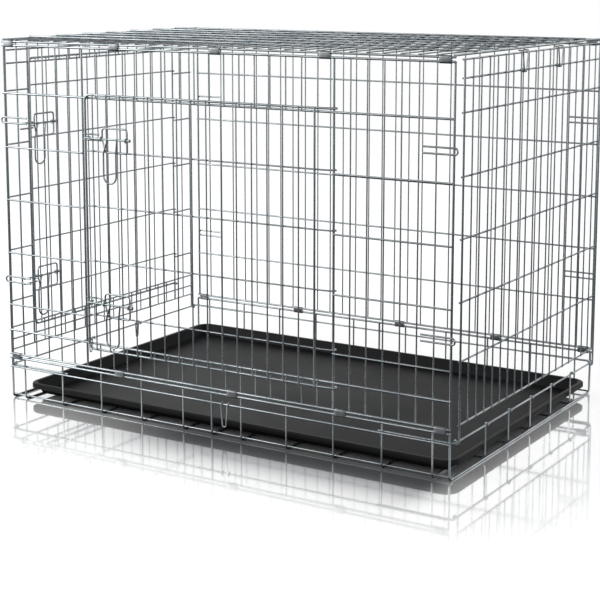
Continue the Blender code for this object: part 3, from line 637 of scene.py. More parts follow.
class ShapeTree(Graph):
    """A geometry node tree with named inputs that ends in its material."""

    def __init__(self, name: str, inputs: dict[str, str]) -> None:
        """Start the tree with its interface.

        Args:
            name: the tree's name.
            inputs: kinds of socket by input name, besides the geometry and the finish.
        """
        super().__init__(bpy.data.node_groups.new(name, "GeometryNodeTree"))
        sockets = {"Geometry": "Geometry", **inputs, "Finish": "Material"}
        for way, labels in (("OUTPUT", ["Geometry"]), ("INPUT", sockets)):
            for label in labels:
                self.tree.interface.new_socket(name=label, in_out=way,
                                               socket_type=f"NodeSocket{sockets[label]}")
        self.given = self.add("NodeGroupInput").outputs

    def wire(self, curve: bpy.types.NodeSocket) -> bpy.types.NodeSocket:
        """Draw a round, capped wire along a curve.

        Args:
            curve: the wire's middle line.

        Returns:
            The wire's geometry.
        """
        section = self.add("GeometryNodeCurvePrimitiveCircle", {"mode": "RADIUS"}, {
            "Resolution": self.given["Sides"], "Radius": self.given["Wire Radius"]})
        wire = self.add("GeometryNodeCurveToMesh", {}, {
            "Curve": curve, "Profile Curve": section.outputs[0], "Fill Caps": True})
        return wire.outputs[0]

    def end(self, shape: bpy.types.NodeSocket) -> None:
        """End the tree in Realize Instances and Set Material.

        Args:
            shape: the geometry to end with.
        """
        real = self.add("GeometryNodeRealizeInstances", {}, {"Geometry": shape})
        dressed = self.add("GeometryNodeSetMaterial", {}, {
            "Geometry": real.outputs[0], "Material": self.given["Finish"]})
        self.add("NodeGroupOutput", {}, {0: dressed.outputs[0]})

    def grown(self, values: dict[str, object], start: bpy.types.Mesh) -> bpy.types.Mesh:
        """Run the tree and take its result as a plain mesh.

        Args:
            values: its inputs by name.
            start: the mesh that it starts from, which is used up.

        Returns:
            The new mesh.
        """
        holder = shown("holder", start)
        modifier = holder.modifiers.new(self.tree.name, "NODES")
        modifier.node_group = self.tree
        for socket in self.tree.interface.items_tree:
            if socket.in_out == "INPUT" and socket.name in values:
                value = values[socket.name]
                modifier[socket.identifier] = tuple(value) if isinstance(value, Vector) else value
        evaluated = holder.evaluated_get(bpy.context.evaluated_depsgraph_get())
        mesh = bpy.data.meshes.new_from_object(evaluated)
        holder.modifiers.clear()
        bpy.data.objects.remove(holder)
        bpy.data.meshes.remove(start)
        return mesh


class BentWires(ShapeTree):
    """The tree that draws a round wire along each chain of edges."""

    def __init__(self) -> None:
        """Build the tree."""
        super().__init__("bent_wires", {"Wire Radius": "Float", "Sides": "Int"})
        curve = self.add("GeometryNodeMeshToCurve", {}, {"Mesh": self.given["Geometry"]})
        self.end(self.wire(curve.outputs[0]))


class WireRow(ShapeTree):
    """The tree that repeats one straight wire at equal steps."""

    def __init__(self) -> None:
        """Build the tree."""
        super().__init__("wire_row", {"From": "Vector", "To": "Vector", "Step": "Vector",
                                      "Count": "Int", "Wire Radius": "Float", "Sides": "Int"})
        line = self.add("GeometryNodeCurvePrimitiveLine", {"mode": "POINTS"}, {
            "Start": self.given["From"], "End": self.given["To"]})
        places = self.add("GeometryNodeMeshLine", {"mode": "OFFSET"}, {
            "Count": self.given["Count"], "Offset": self.given["Step"]})
        repeated = self.add("GeometryNodeInstanceOnPoints", {}, {
            "Points": places.outputs[0], "Instance": self.wire(line.outputs[0])})
        self.end(repeated.outputs[0])


class WeldBeads(ShapeTree):
    """The tree that sets a small weld bead of uneven size on each point."""

    def __init__(self) -> None:
        """Build the tree."""
        super().__init__("weld_beads", {"Bead Radius": "Float", "Unevenness": "Float",
                                        "Seed": "Int"})
        bead = self.add("GeometryNodeMeshIcoSphere", {}, {
            "Radius": self.given["Bead Radius"], "Subdivisions": 1})
        spread, seed = Value(self, self.given["Unevenness"]), self.given["Seed"]
        size = self.add("FunctionNodeRandomValue", {"data_type": "FLOAT"}, {
            2: 1.0 - spread, 3: spread + 1.0, "Seed": seed})
        turn = self.add("FunctionNodeRandomValue", {"data_type": "FLOAT_VECTOR"}, {
            0: (0.0, 0.0, 0.0), 1: (pi, pi, pi), "Seed": seed})
        beads = self.add("GeometryNodeInstanceOnPoints", {}, {
            "Points": self.given["Geometry"], "Instance": bead.outputs[0],
            "Rotation": turn.outputs[0], "Scale": size.outputs[1]})
        self.end(beads.outputs[0])


def placed(mesh: bpy.types.Mesh, name: str, body: str, nodes: Sequence[str],
           finish: bpy.types.Material) -> bpy.types.Object:
    """Turn a mesh into a piece of the crate.

    Args:
        mesh: its shape, in the crate's own frame.
        name: the object's name.
        body: the body that it rides on.
        nodes: the CAD nodes that it stands for.
        finish: its material.

    Returns:
        The piece.
    """
    mesh.shade_smooth()
    mesh.set_sharp_from_angle(angle=SMOOTH_ANGLE)
    mesh.materials.clear()
    mesh.materials.append(finish)
    piece = shown(name, mesh)
    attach(piece, body)
    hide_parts(*nodes)
    mesh.calc_loop_triangles()
    LOG.info("%s: %d triangles, rides on %s", name, len(mesh.loop_triangles), body)
    return piece


@dataclass
class Piece:
    """One wire piece of the crate while its wires are gathered.

    Attributes:
        shop: the wire trees and its finish.
        name: the object's name.
        body: the body that it rides on.
        node: the CAD node that it stands for.
        meshes: what is gathered so far, with its share of weld.
    """

    shop: "Workshop"
    name: str
    body: str
    node: str
    meshes: list[tuple[bpy.types.Mesh, float]] = field(default_factory=list)

    def grow(self, tree: ShapeTree, values: dict[str, object], places: Sequence[Vector] = (),
             edges: Sequence[tuple[int, int]] = (), weld: float = 0.0) -> None:
        """Run a tree on some points and edges, and keep what it makes.

        Args:
            tree: the geometry tree.
            values: its inputs by name, besides the sides and the finish.
            places: the points.
            edges: pairs of their indices.
            weld: share of weld, from 0 for wire to 1 for a bead.
        """
        start = bpy.data.meshes.new("start")
        start.from_pydata(places, edges, [])
        values = {"Sides": WIRE_SIDES, "Finish": self.shop.finish, **values}
        self.meshes.append((tree.grown(values, start), weld))

    def bent(self, paths: Iterable[Sequence[Vector]], radius: float,
             closed: bool = False) -> None:
        """Add a wire along each path.

        Args:
            paths: the paths' points.
            radius: of the wire.
            closed: whether each path ends where it starts.
        """
        places: list[Vector] = []
        edges: list[tuple[int, int]] = []
        for path in paths:
            first = len(places)
            places += path
            edges += [(index, index + 1) for index in range(first, len(places) - 1)]
            if closed:
                edges.append((len(places) - 1, first))
        self.grow(self.shop.bent, {"Wire Radius": radius}, places, edges)

    def row(self, wire: Path, step: Vector, count: int, radius: float) -> None:
        """Add one straight wire, repeated at equal steps."""
        self.grow(self.shop.row, {"From": wire[0], "To": wire[1], "Step": step, "Count": count,
                                  "Wire Radius": radius})

    def beads(self, places: Sequence[Vector], radius: float = SIZES.bead, seed: int = 7) -> None:
        """Add a weld bead at each place where two wires are welded."""
        self.grow(self.shop.beads, {"Bead Radius": radius, "Seed": seed,
                                    "Unevenness": self.shop.unevenness}, places, weld=1.0)

    def uprights(self, plane: Plane, first: int, last: int, heights: Span,
                 out: float = 0.0) -> None:
        """Add thin uprights on a plane's grid lines from first to last."""
        self.row(plane.upright(first * plane.pitch, *heights, out), plane.along * plane.pitch,
                 last - first + 1, SIZES.thin)

    def made(self) -> None:
        """Join what is gathered into one object and give it its place in the frame."""
        shape = bmesh.new()
        shares: list[float] = []
        for mesh, weld in self.meshes:
            shape.from_mesh(mesh)
            shares += [weld] * len(mesh.vertices)
            bpy.data.meshes.remove(mesh)
        whole = bpy.data.meshes.new(self.name)
        shape.to_mesh(whole)
        shape.free()
        weld_shares = whole.attributes.new(WELD_ATTRIBUTE, "FLOAT", "POINT")
        weld_shares.data.foreach_set("value", shares)
        placed(whole, self.name, self.body, (self.node,), self.shop.finish)


@dataclass
class Workshop:
    """The wire trees and a finish, from which wire pieces are started."""

    finish: bpy.types.Material
    bent: BentWires
    row: WireRow
    beads: WeldBeads
    unevenness: float = 0.25

    def piece(self, name: str, body: str, node: str = "") -> Piece:
        """Start a piece; its node has the body's name unless one is given."""
        return Piece(self, name, body, node or body)

    def hook(self, name: str) -> Piece:
        """Start the piece of a hook that is a body of its own."""
        return self.piece(f"{name}_wire", name)


# --------------------------------------------------------------------- doors


@dataclass(frozen=True)
class LatchSizes:
    """The sizes of a door's sliding bolts, their brackets and keepers."""

    bars: tuple[int, int] = (0, 3)
    bracket_length: float = 70 * MM
    bracket_height: float = 54 * MM
    bracket_lean: float = 8 * MM
    bracket_radius: float = 2.0 * MM
    bracket_corner: float = 7 * MM
    bolt_radius: float = 2.2 * MM
    bolt_rise: float = 30 * MM
    tip: float = 20.8 * MM
    tail: float = 78 * MM
    head_radius: float = 3.6 * MM
    head_length: float = 3 * MM
    handle_radius: float = 2.0 * MM
    handle_start: float = 6 * MM
    handle_width: float = 35 * MM
    handle_drop: float = 99 * MM
    handle_lean: Span = (12 * MM, 4 * MM)
    handle_flat: float = 0.5 * MM
    handle_steps: int = 14
    leg_bend: float = 14 * MM
    weld_rise: float = 0.7 * MM
    weld_seed: int = 3
    guide_radius: float = 1.5 * MM
    guide_gap: float = 0.5 * MM
    guide_steps: int = 18
    keeper_length: float = 46 * MM
    keeper_spacing: float = 13 * MM


LATCH = LatchSizes()


@dataclass(frozen=True)
class DoorWay:
    """A door opening: its panel, grid lines, posts, bars and the door's own levels."""

    plane: Plane
    jamb_line: int
    hinge_line: int
    edge_line: float
    post_out: float
    post_radius: float
    frame_gap: float
    heights: tuple[float, ...]
    sill: float
    bracket_start: float
    keeper_back: float
    frame_radius: float = 2.5 * MM
    lift: float = 7.5 * MM
    drop: float = 11.5 * MM

    @property
    def jamb(self) -> float:
        """Place of the jamb along the panel."""
        return self.jamb_line * self.plane.pitch

    @property
    def hinge(self) -> float:
        """Place of the hinge post along the panel."""
        return self.hinge_line * self.plane.pitch

    @property
    def bracket(self) -> float:
        """Place of the latch brackets' nearer side along the panel."""
        return self.jamb + self.bracket_start

    @property
    def bars(self) -> list[float]:
        """Heights of the door's bars."""
        return [z + self.lift for z in self.heights[:-1]]

    @property
    def header(self) -> float:
        """Height of the rail over the opening."""
        return self.heights[-1]

    @property
    def frame_out(self) -> float:
        """Distance of the door's frame from the panel."""
        return self.post_radius + self.frame_radius + self.frame_gap

    @property
    def upright_out(self) -> float:
        """Distance of the door's uprights from the panel."""
        return self.frame_out + self.frame_radius + SIZES.thin - SIZES.weld

    @property
    def bracket_out(self) -> float:
        """Distance of the latch brackets from the panel."""
        return self.upright_out + SIZES.thin + LATCH.bracket_radius - SIZES.weld

    @property
    def bolt_out(self) -> float:
        """Distance of the bolts from the panel."""
        return self.bracket_out + LATCH.bracket_radius + LATCH.bolt_radius + SIZES.gap

    def bolt_z(self, bar: int) -> float:
        """Height of the bolt above a door bar."""
        return self.bars[bar] + LATCH.bolt_rise

    def keepers(self) -> list[Path]:
        """The prongs on the jamb that the bolts rest between.

        Returns:
            Their paths.
        """
        start = self.jamb - self.keeper_back
        return [self.plane.level(start, start + LATCH.keeper_length,
                                 self.bolt_z(bar) + side * LATCH.keeper_spacing / 2, self.post_out)
                for bar in LATCH.bars for side in (-1, 1)]


def grid_uprights(piece: Piece, plane: Plane, heights: Span, out: float,
                  way: DoorWay | None) -> None:
    """Add a panel's thin uprights, left open where it has a door.

    Args:
        piece: the piece that they go to.
        plane: the panel's plane.
        heights: their lower and upper ends.
        out: their distance from the plane.
        way: its door opening.
    """
    last = plane.cells - 1
    if way is None:
        piece.uprights(plane, 1, last, heights, out)
        return
    below = (heights[0], way.sill + SIZES.wire_end)
    above = (way.header - SIZES.wire_end, heights[1])
    piece.uprights(plane, 1, way.jamb_line - 1, heights, out)
    piece.uprights(plane, way.hinge_line + 1, last, heights, out)
    for part in (below, above):
        piece.uprights(plane, way.jamb_line + 1, way.hinge_line - 1, part, out)


@dataclass
class Door:
    """A door: a bent frame wire and bars on eyes, with two latch brackets."""

    piece: Piece
    way: DoorWay
    bar_radius: float = 1.8 * MM
    corner: float = 14 * MM
    corner_steps: int = 10
    eye_run: float = 24 * MM

    def _eye(self, z: float, radius: float) -> Path:
        """The end of a level door wire, bent in to the hinge post and round it.

        Args:
            z: the wire's level.
            radius: of the wire.

        Returns:
            Its path from the door's plane to the eye's tip.
        """
        way, plane = self.way, self.way.plane
        centre = plane.at(way.hinge, z, way.post_out)
        size = way.post_radius + SIZES.eye_gap + radius
        return [plane.at(way.hinge - self.eye_run, z, way.frame_out),
                *turned(centre, plane.out, plane.along, size, SIZES.eye_sweep, SIZES.eye_steps)]

    def build(self) -> None:
        """Make the door."""
        piece, way, plane = self.piece, self.way, self.way.plane
        top, bottom = way.header + way.lift, way.sill - way.drop
        edge, out = way.edge_line * plane.pitch, way.frame_out
        upper, lower = self._eye(top, way.frame_radius), self._eye(bottom, way.frame_radius)
        corners = [upper[0], *plane.through(((edge, top), (edge, bottom)), out), lower[0]]
        frame_wire = rounded(corners, self.corner, self.corner_steps)
        piece.bent([upper[:0:-1] + frame_wire + lower[1:]], way.frame_radius)
        piece.bent([[plane.at(edge, z, out), *self._eye(z, self.bar_radius)] for z in way.bars],
                   self.bar_radius)
        ends = (bottom - SIZES.wire_end, top + SIZES.wire_end)
        first, last = way.jamb_line + 1, way.hinge_line - 1
        piece.uprights(plane, first, last - 1, ends, way.upright_out)
        stile = way.upright_out - out + SIZES.weld - self.bar_radius
        piece.bent([plane.upright(last * plane.pitch, *ends, way.upright_out)], stile)
        self._brackets()
        piece.beads(plane.crossings(range(first, last + 1), [bottom, *way.bars, top],
                                    out + way.frame_radius - SIZES.weld))
        piece.made()

    def _brackets(self) -> None:
        """Add the latch brackets and the rings that carry the bolts."""
        way, plane = self.way, self.way.plane
        start, end = way.bracket, way.bracket + LATCH.bracket_length
        size = LATCH.bolt_radius + LATCH.guide_radius + LATCH.guide_gap
        steps = LATCH.guide_steps
        frames, guides = [], []
        for bar in LATCH.bars:
            low = way.bars[bar]
            high = low + LATCH.bracket_height
            corners = ((start + LATCH.bracket_lean, low), (end, low), (end, high), (start, high),
                       (start, way.bolt_z(bar)))
            frames.append(rounded(plane.through(corners, way.bracket_out), LATCH.bracket_corner,
                                  closed=True))
            for a in (start, end):
                centre = plane.at(a, way.bolt_z(bar), way.bolt_out)
                guides.append(turned(centre, plane.out, plane.up, size,
                                     2 * pi * (steps - 1) / steps, steps - 1))
        self.piece.bent(frames, LATCH.bracket_radius, closed=True)
        self.piece.bent(guides, LATCH.guide_radius, closed=True)


@dataclass
class Latch:
    """A sliding bolt above a door bar, with a bent tip, headed tail and hanging handle."""

    piece: Piece
    way: DoorWay
    bar: int

    def build(self) -> None:
        """Make the latch."""
        piece, way, plane, out = self.piece, self.way, self.way.plane, self.way.bolt_out
        z = way.bolt_z(self.bar)
        tip, tail = way.jamb + LATCH.tip, way.bracket + LATCH.tail
        rod = [plane.at(tip, z, way.post_out), *plane.level(tip, tail, z, out)]
        piece.bent([rounded(rod, 2 * LATCH.bolt_radius)], LATCH.bolt_radius)

        one = way.bracket + LATCH.handle_start
        two, low = one + LATCH.handle_width, z - LATCH.handle_drop
        foot = rounded(plane.through(((one, z), (one, low), (two, low), (two, z)), out),
                       LATCH.handle_width / 2 - LATCH.handle_flat, LATCH.handle_steps)[1:-1]
        waist = z - LATCH.bolt_rise - LATCH.bracket_radius
        near, far = one + LATCH.handle_lean[0], two + LATCH.handle_lean[1]
        near_leg = rounded([*plane.through(((near, z), (one, waist)), out), foot[0]],
                           LATCH.leg_bend)
        far_leg = rounded([foot[-1], *plane.through(((two, waist), (far, z)), out)],
                          LATCH.leg_bend)
        piece.bent([near_leg[:-1] + foot + far_leg[1:]], LATCH.handle_radius)
        piece.bent([plane.level(tail, tail + LATCH.head_length, z, out)], LATCH.head_radius)
        piece.beads(plane.level(near, far, z, out), LATCH.bolt_radius + LATCH.weld_rise,
                    LATCH.weld_seed)
        piece.made()


# -------------------------------------------------------------------- panels


@dataclass
class BaseFrame:
    """The welded base: floor wires bent up at the sides, rails and both end rails."""

    piece: Piece
    lines: tuple[int, ...] = (0, 1, 4, 7, 10, 13, 15, 17, 20, 23, 26, 29, 30)
    posts: tuple[int, ...] = (0, 15, 30)
    floor_radius: float = 2.0 * MM
    post_radius: float = 2.5 * MM
    second_radius: float = 2.0 * MM
    bend: float = 9 * MM
    spacing: float = 117 * MM
    shift: float = 12 * MM
    count: int = 5
    end_bend: float = 6 * MM
    end_return: float = 4.3
    curl: float = radians(200)
    curl_steps: int = 12
    bead: float = 1.9 * MM

    @property
    def upright_y(self) -> float:
        """Distance of the bent-up wires from the middle."""
        return SIZES.width / 2 - (SIZES.rail + self.floor_radius - SIZES.weld)

    @property
    def second_step(self) -> float:
        """Distance from the bent-up wires to the second rail."""
        return self.floor_radius + self.second_radius + SIZES.gap

    def build(self) -> None:
        """Make the base."""
        piece, half = self.piece, SIZES.length / 2
        welds = self._cross_wires() + self._long_wires()
        reach = half + SIZES.rail
        rails = ((SIZES.width / 2, SIZES.base_rail_z, SIZES.rail),
                 (self.upright_y + self.second_step, SIZES.second_rail_z, self.second_radius))
        for side in (-1, 1):
            for y, z, radius in rails:
                piece.bent([[Vector((-reach, side * y, z)), Vector((reach, side * y, z))]],
                           radius)
        return_y, z = self.upright_y - self.second_step, SIZES.end_axis_z
        ends = []
        for side in (-1, 1):
            back_x = side * (half - self.end_return * FRONT.pitch)
            end_x = side * SIZES.end_axis_x
            corners = [Vector((x, y, z)) for x, y in (
                (back_x, -return_y), (end_x, -return_y), (end_x, return_y), (back_x, return_y))]
            ends.append(rounded(corners, self.end_bend))
        piece.bent(ends, SIZES.end_rail)
        piece.beads(welds, self.bead)
        piece.made()

    def _cross_wires(self) -> list[Vector]:
        """Add the floor wires that are bent up at both sides.

        Returns:
            The places where they are welded to the rails.
        """
        y, top = self.upright_y, SIZES.base_rail_z + SIZES.wire_end
        welds = []
        for line in self.lines:
            radius = self.post_radius if line in self.posts else self.floor_radius
            x = -SIZES.length / 2 + line * FRONT.pitch
            corners = [Vector((x, place, z))
                       for place, z in ((-y, top), (-y, radius), (y, radius), (y, top))]
            self.piece.bent([rounded(corners, self.bend)], radius)
            for side in (-1, 1):
                rail_y = side * (y + SIZES.width / 2) / 2
                second_y = side * (y + self.second_step / 2)
                welds += [Vector((x, rail_y, SIZES.base_rail_z)),
                          Vector((x, second_y, SIZES.second_rail_z))]
        return welds

    def _long_wires(self) -> list[Vector]:
        """Add the long floor wires, most of them curled round the right end rail.

        Returns:
            The places where they are welded.
        """
        half, axis_z = SIZES.length / 2, SIZES.end_axis_z
        floor_z = 2 * self.post_radius + self.floor_radius - SIZES.weld
        inner_x = SIZES.end_axis_x - SIZES.end_rail - self.floor_radius + SIZES.weld
        wires, welds = [], []
        for index in range(self.count):
            across = self.shift + (index - (self.count - 1) / 2) * self.spacing
            corners = [Vector((x, across, z)) for x, z in (
                (-half - self.post_radius, floor_z), (inner_x, floor_z), (inner_x, axis_z))]
            curl = turned(Vector((SIZES.end_axis_x, across, axis_z)), -X, UP,
                          SIZES.end_axis_x - inner_x, self.curl, self.curl_steps)
            wires.append(rounded(corners, self.bend)[:-1] + curl)
            welds.append(Vector((inner_x + self.floor_radius, across, axis_z)))
            welds += [Vector((-half + line * FRONT.pitch, across, floor_z - self.floor_radius))
                      for line in self.lines]
        reach = half + SIZES.rail
        for across in (self.bend - self.upright_y, self.upright_y - self.bend):
            wires.append([Vector((-reach, across, floor_z)), Vector((reach, across, floor_z))])
        self.piece.bent(wires, self.floor_radius)
        return welds


@dataclass
class LongPanel:
    """The front or back panel: uprights, rails, cross wires and corner catches."""

    piece: Piece
    plane: Plane
    catch_heights: Span
    catch_out: float
    catch_side: int
    way: DoorWay | None = None
    catch_spacing: float = 13 * MM
    catch_length: float = 76 * MM
    catch_nose: float = 1.0 * MM
    catch_steps: int = 10

    def build(self) -> None:
        """Make the panel."""
        piece, plane, way = self.piece, self.plane, self.way
        bottom, top, last = SIZES.panel_bottom, SIZES.panel_top, plane.cells
        posts, rails, bars = (0.0, plane.length), (bottom, top), SIZES.bars
        spans, lines = ((0.0, plane.length),), range(last + 1)
        if way is not None:
            posts = (0.0, way.jamb, way.hinge, plane.length)
            rails, bars = (bottom, way.sill, way.header, top), SIZES.bars[:-1]
            spans = ((0.0, way.jamb), (way.hinge, plane.length))
            lines = [*range(way.jamb_line + 1), *range(way.hinge_line, last + 1)]
        ends = (bottom - SIZES.wire_end, top + SIZES.wire_end)
        grid_uprights(piece, plane, ends, -SIZES.welded, way)
        piece.bent([plane.upright(a, *ends, -SIZES.welded) for a in posts], SIZES.rail)
        piece.bent([plane.level(-SIZES.rail, plane.length + SIZES.rail, z) for z in rails],
                   SIZES.rail)
        for span in spans:
            piece.bent([plane.level(*span, z, SIZES.passing - SIZES.welded) for z in bars],
                       SIZES.line)
        self._catches()
        if way is not None:
            piece.bent(way.keepers(), SIZES.line)
        piece.beads(plane.crossings(range(1, last), rails, -SIZES.rail))
        piece.beads(plane.crossings(lines, bars, SIZES.thin - SIZES.welded))
        piece.made()

    def _catches(self) -> None:
        """Add the hairpin catches at both ends."""
        out = -SIZES.welded + self.catch_side * (SIZES.thin + SIZES.line - SIZES.weld)
        bend = (self.catch_spacing - self.catch_nose) / 2
        paths = []
        for near, sign in ((0.0, -1), (self.plane.length, 1)):
            nose = near + sign * self.catch_out
            tail = near - sign * (self.catch_length - self.catch_out)
            for z in self.catch_heights:
                low, high = z - self.catch_spacing / 2, z + self.catch_spacing / 2
                corners = ((tail, low), (nose, low), (nose, high), (tail, high))
                paths.append(rounded(self.plane.through(corners, out), bend, self.catch_steps))
        self.piece.bent(paths, SIZES.line)


@dataclass
class RoofPanel:
    """The roof: a wire over each grid line and long wires on top."""

    piece: Piece
    line_count: int = 7

    def build(self) -> None:
        """Make the roof."""
        piece, width, last = self.piece, SIZES.width, SIZES.long_cells
        wire_z = SIZES.roof_rail_z + SIZES.welded
        ends, spans = (-SIZES.wire_end, width + SIZES.wire_end), (0.0, width)
        rail = (-SIZES.rail, SIZES.length + SIZES.rail)
        step = width / (self.line_count + 1)
        piece.uprights(ROOF, 1, last - 1, ends, wire_z)
        piece.bent([ROOF.upright(a, *ends, wire_z) for a in (0.0, SIZES.length)], SIZES.rail)
        piece.bent([ROOF.level(*rail, y, SIZES.roof_rail_z) for y in spans], SIZES.rail)
        piece.row(ROOF.level(*rail, step, wire_z + SIZES.passing), ROOF.up * step,
                  self.line_count, SIZES.line)
        lines = [step * (index + 1) for index in range(self.line_count)]
        piece.beads(ROOF.crossings(range(last + 1), lines, wire_z + SIZES.thin)
                    + ROOF.crossings(range(last + 1), spans, SIZES.roof_rail_z + SIZES.rail))
        piece.made()


@dataclass
class EndPanel:
    """An end panel that turns on the base's end rail."""

    piece: Piece
    plane: Plane
    rails: tuple[float, ...]
    lines: tuple[float, ...]
    short_lines: tuple[float, ...] = ()
    way: DoorWay | None = None
    top: float = 845.5 * MM
    bottom: float = 114 * MM
    bead: float = 1.6 * MM

    def build(self) -> None:
        """Make the end panel."""
        piece, plane, way, width = self.piece, self.plane, self.way, self.plane.length
        ends = (self.bottom - SIZES.wire_end, self.top + SIZES.wire_end)
        spans = [(0.0, width, z) for z in self.lines]
        grid_uprights(piece, plane, ends, 0.0, way)
        if way is not None:
            piece.bent([plane.upright(a, *ends) for a in (way.jamb, way.hinge)], SIZES.end_post)
            piece.bent(way.keepers(), SIZES.line)
            spans += [(0.0, way.jamb, z) for z in self.short_lines]
            spans += [(way.hinge, width, z) for z in self.short_lines]
        eyes = [[plane.at(a, ends[1]), *turned(
            plane.at(a, SIZES.end_axis_z, -SIZES.end_eye), plane.out, -UP, SIZES.end_eye,
            SIZES.eye_sweep, SIZES.eye_steps)] for a in (0.0, width)]
        piece.bent(eyes, SIZES.end_post)
        piece.bent([plane.level(-SIZES.end_post, width + SIZES.end_post, z, -SIZES.end_welded)
                    for z in self.rails], SIZES.end_rail)
        piece.bent([plane.level(*span, -SIZES.passing) for span in spans], SIZES.line)
        places = [line * plane.pitch for line in range(plane.cells + 1)]
        crossings = [(a, z) for z in self.rails for a in places]
        crossings += [(a, z) for start, end, z in spans for a in places
                      if start - MM < a < end + MM]
        piece.beads(plane.through(crossings, -SIZES.thin), self.bead)
        piece.made()


# --------------------------------------------------------------------- hooks


@dataclass
class RoofHook:
    """A bent wire hook that turns on an end panel's bar and reaches under the roof's edge."""

    piece: Piece
    plane: Plane
    cell: float
    bar_z: float
    radius: float = 1.5 * MM
    gap: float = 0.3 * MM
    width: float = 27 * MM
    foot: float = 10 * MM
    corner: float = 1.5 * MM
    corner_steps: int = 5

    def build(self) -> None:
        """Make the hook."""
        middle, clear = self.cell * self.plane.pitch, self.gap + self.radius
        tip_z = SIZES.roof_rail_z + SIZES.welded - SIZES.rail - clear
        under = self.bar_z - SIZES.line - clear
        leg_out = SIZES.end_rail - SIZES.end_welded + clear
        behind = -SIZES.passing - SIZES.line - clear
        tip_out = SIZES.length / 2 + SIZES.rail + self.gap - SIZES.end_plane_x
        halves = []
        for side in (-1, 1):
            wide, narrow = middle + side * self.width / 2, middle + side * self.foot / 2
            places = ((wide, tip_z, tip_out), (wide, tip_z, leg_out), (narrow, under, leg_out),
                      (narrow, under, behind), (narrow, self.bar_z + self.radius, behind))
            halves.append([self.plane.at(*place) for place in places])
        path = rounded(halves[0] + halves[1][::-1], self.corner, self.corner_steps)
        self.piece.bent([path], self.radius)
        self.piece.made()


@dataclass
class Hairpin:
    """A bent wire hook with two eyes round a rail and a closed lower end."""

    piece: Piece
    plane: Plane
    centre: Vector
    width: float
    foot: float
    bottom_z: float
    rail_radius: float
    radius: float = 1.5 * MM
    gap: float = 0.6 * MM
    eye_steps: int = 20
    foot_bend: float = 0.42
    foot_steps: int = 8

    def build(self) -> None:
        """Make the hook."""
        along, out = self.plane.along, self.plane.out
        size = self.rail_radius + self.gap + self.radius
        drop = self.centre.z - self.bottom_z - self.radius
        eyes, feet = [], []
        for side in (-1, 1):
            middle = self.centre + along * (side * self.width / 2)
            eyes.append(turned(middle, out, UP, size, -SIZES.eye_sweep, self.eye_steps,
                               SIZES.eye_sweep))
            feet.append(self.centre + along * (side * self.foot / 2) + out * size - UP * drop)
        path = rounded([eyes[0][-1], *feet, eyes[1][-1]], self.foot_bend * self.foot,
                       self.foot_steps)[1:-1]
        self.piece.bent([eyes[0] + path + eyes[1][::-1]], self.radius)
        self.piece.made()


# ------------------------------------------------------------ clips and tray


def walled(piece: bpy.types.Object, sheet: float, edge_width: float,
           even: bool = False) -> None:
    """Give a sheet its thickness and soften its edges.

    Args:
        piece: the sheet's middle surface.
        sheet: its thickness.
        edge_width: of the softened edges.
        even: whether it keeps its thickness round the corners.
    """
    wall = piece.modifiers.new("sheet", "SOLIDIFY")
    wall.thickness, wall.offset, wall.use_even_offset = sheet, 0.0, even
    edge = piece.modifiers.new("edge", "BEVEL")
    edge.width, edge.segments = edge_width, EDGE_SEGMENTS
    edge.limit_method, edge.angle_limit = "ANGLE", EDGE_ANGLE


def meshed(shape: bmesh.types.BMesh, name: str) -> bpy.types.Mesh:
    """Turn a shape into a mesh with its faces the same way round.

    Args:
        shape: the shape, which is used up.
        name: the mesh's name.

    Returns:
        The mesh.
    """
    bmesh.ops.recalc_face_normals(shape, faces=shape.faces)
    mesh = bpy.data.meshes.new(name)
    shape.to_mesh(mesh)
    shape.free()
    return mesh


@dataclass
class Clips:
    """The bent sheet clips along one pair of rails."""

    plane: Plane
    name: str
    body: str
    nodes: tuple[str, ...]
    low_z: float
    cells: tuple[float, ...]
    length: float = 26 * MM
    sheet: float = 0.8 * MM
    gap: float = 0.5 * MM
    lip: float = 0.42
    steps: int = 12
    edge_width: float = 0.2 * MM

    def _section(self) -> list[Span]:
        """The centre line of the sheet round both rails.

        Returns:
            The places out and up, from one lip to the other.
        """
        radius, high = SIZES.rail + self.gap + self.sheet / 2, SIZES.rail_pair
        turns = [pi * step / self.steps for step in range(self.steps + 1)]
        return [(-radius, self.lip * high),
                *((radius * cos(pi + turn), radius * sin(pi + turn)) for turn in turns),
                *((radius * cos(turn), high + radius * sin(turn)) for turn in turns),
                (-radius, high - self.lip * high)]

    def build(self, finish: bpy.types.Material) -> None:
        """Make the clips of this pair of rails as one piece.

        Args:
            finish: their material.
        """
        shape = bmesh.new()
        for cell in self.cells:
            centre = cell * self.plane.pitch
            rows = [[shape.verts.new(self.plane.at(centre + across, self.low_z + up, out))
                     for out, up in self._section()]
                    for across in (-self.length / 2, -self.length / 6,
                                   self.length / 6, self.length / 2)]
            for one, two in zip(rows, rows[1:]):
                for index in range(len(one) - 1):
                    shape.faces.new((one[index], two[index], two[index + 1], one[index + 1]))
        mesh = meshed(shape, self.name)
        piece = placed(mesh, self.name, self.body, self.nodes, finish)
        walled(piece, self.sheet, self.edge_width)


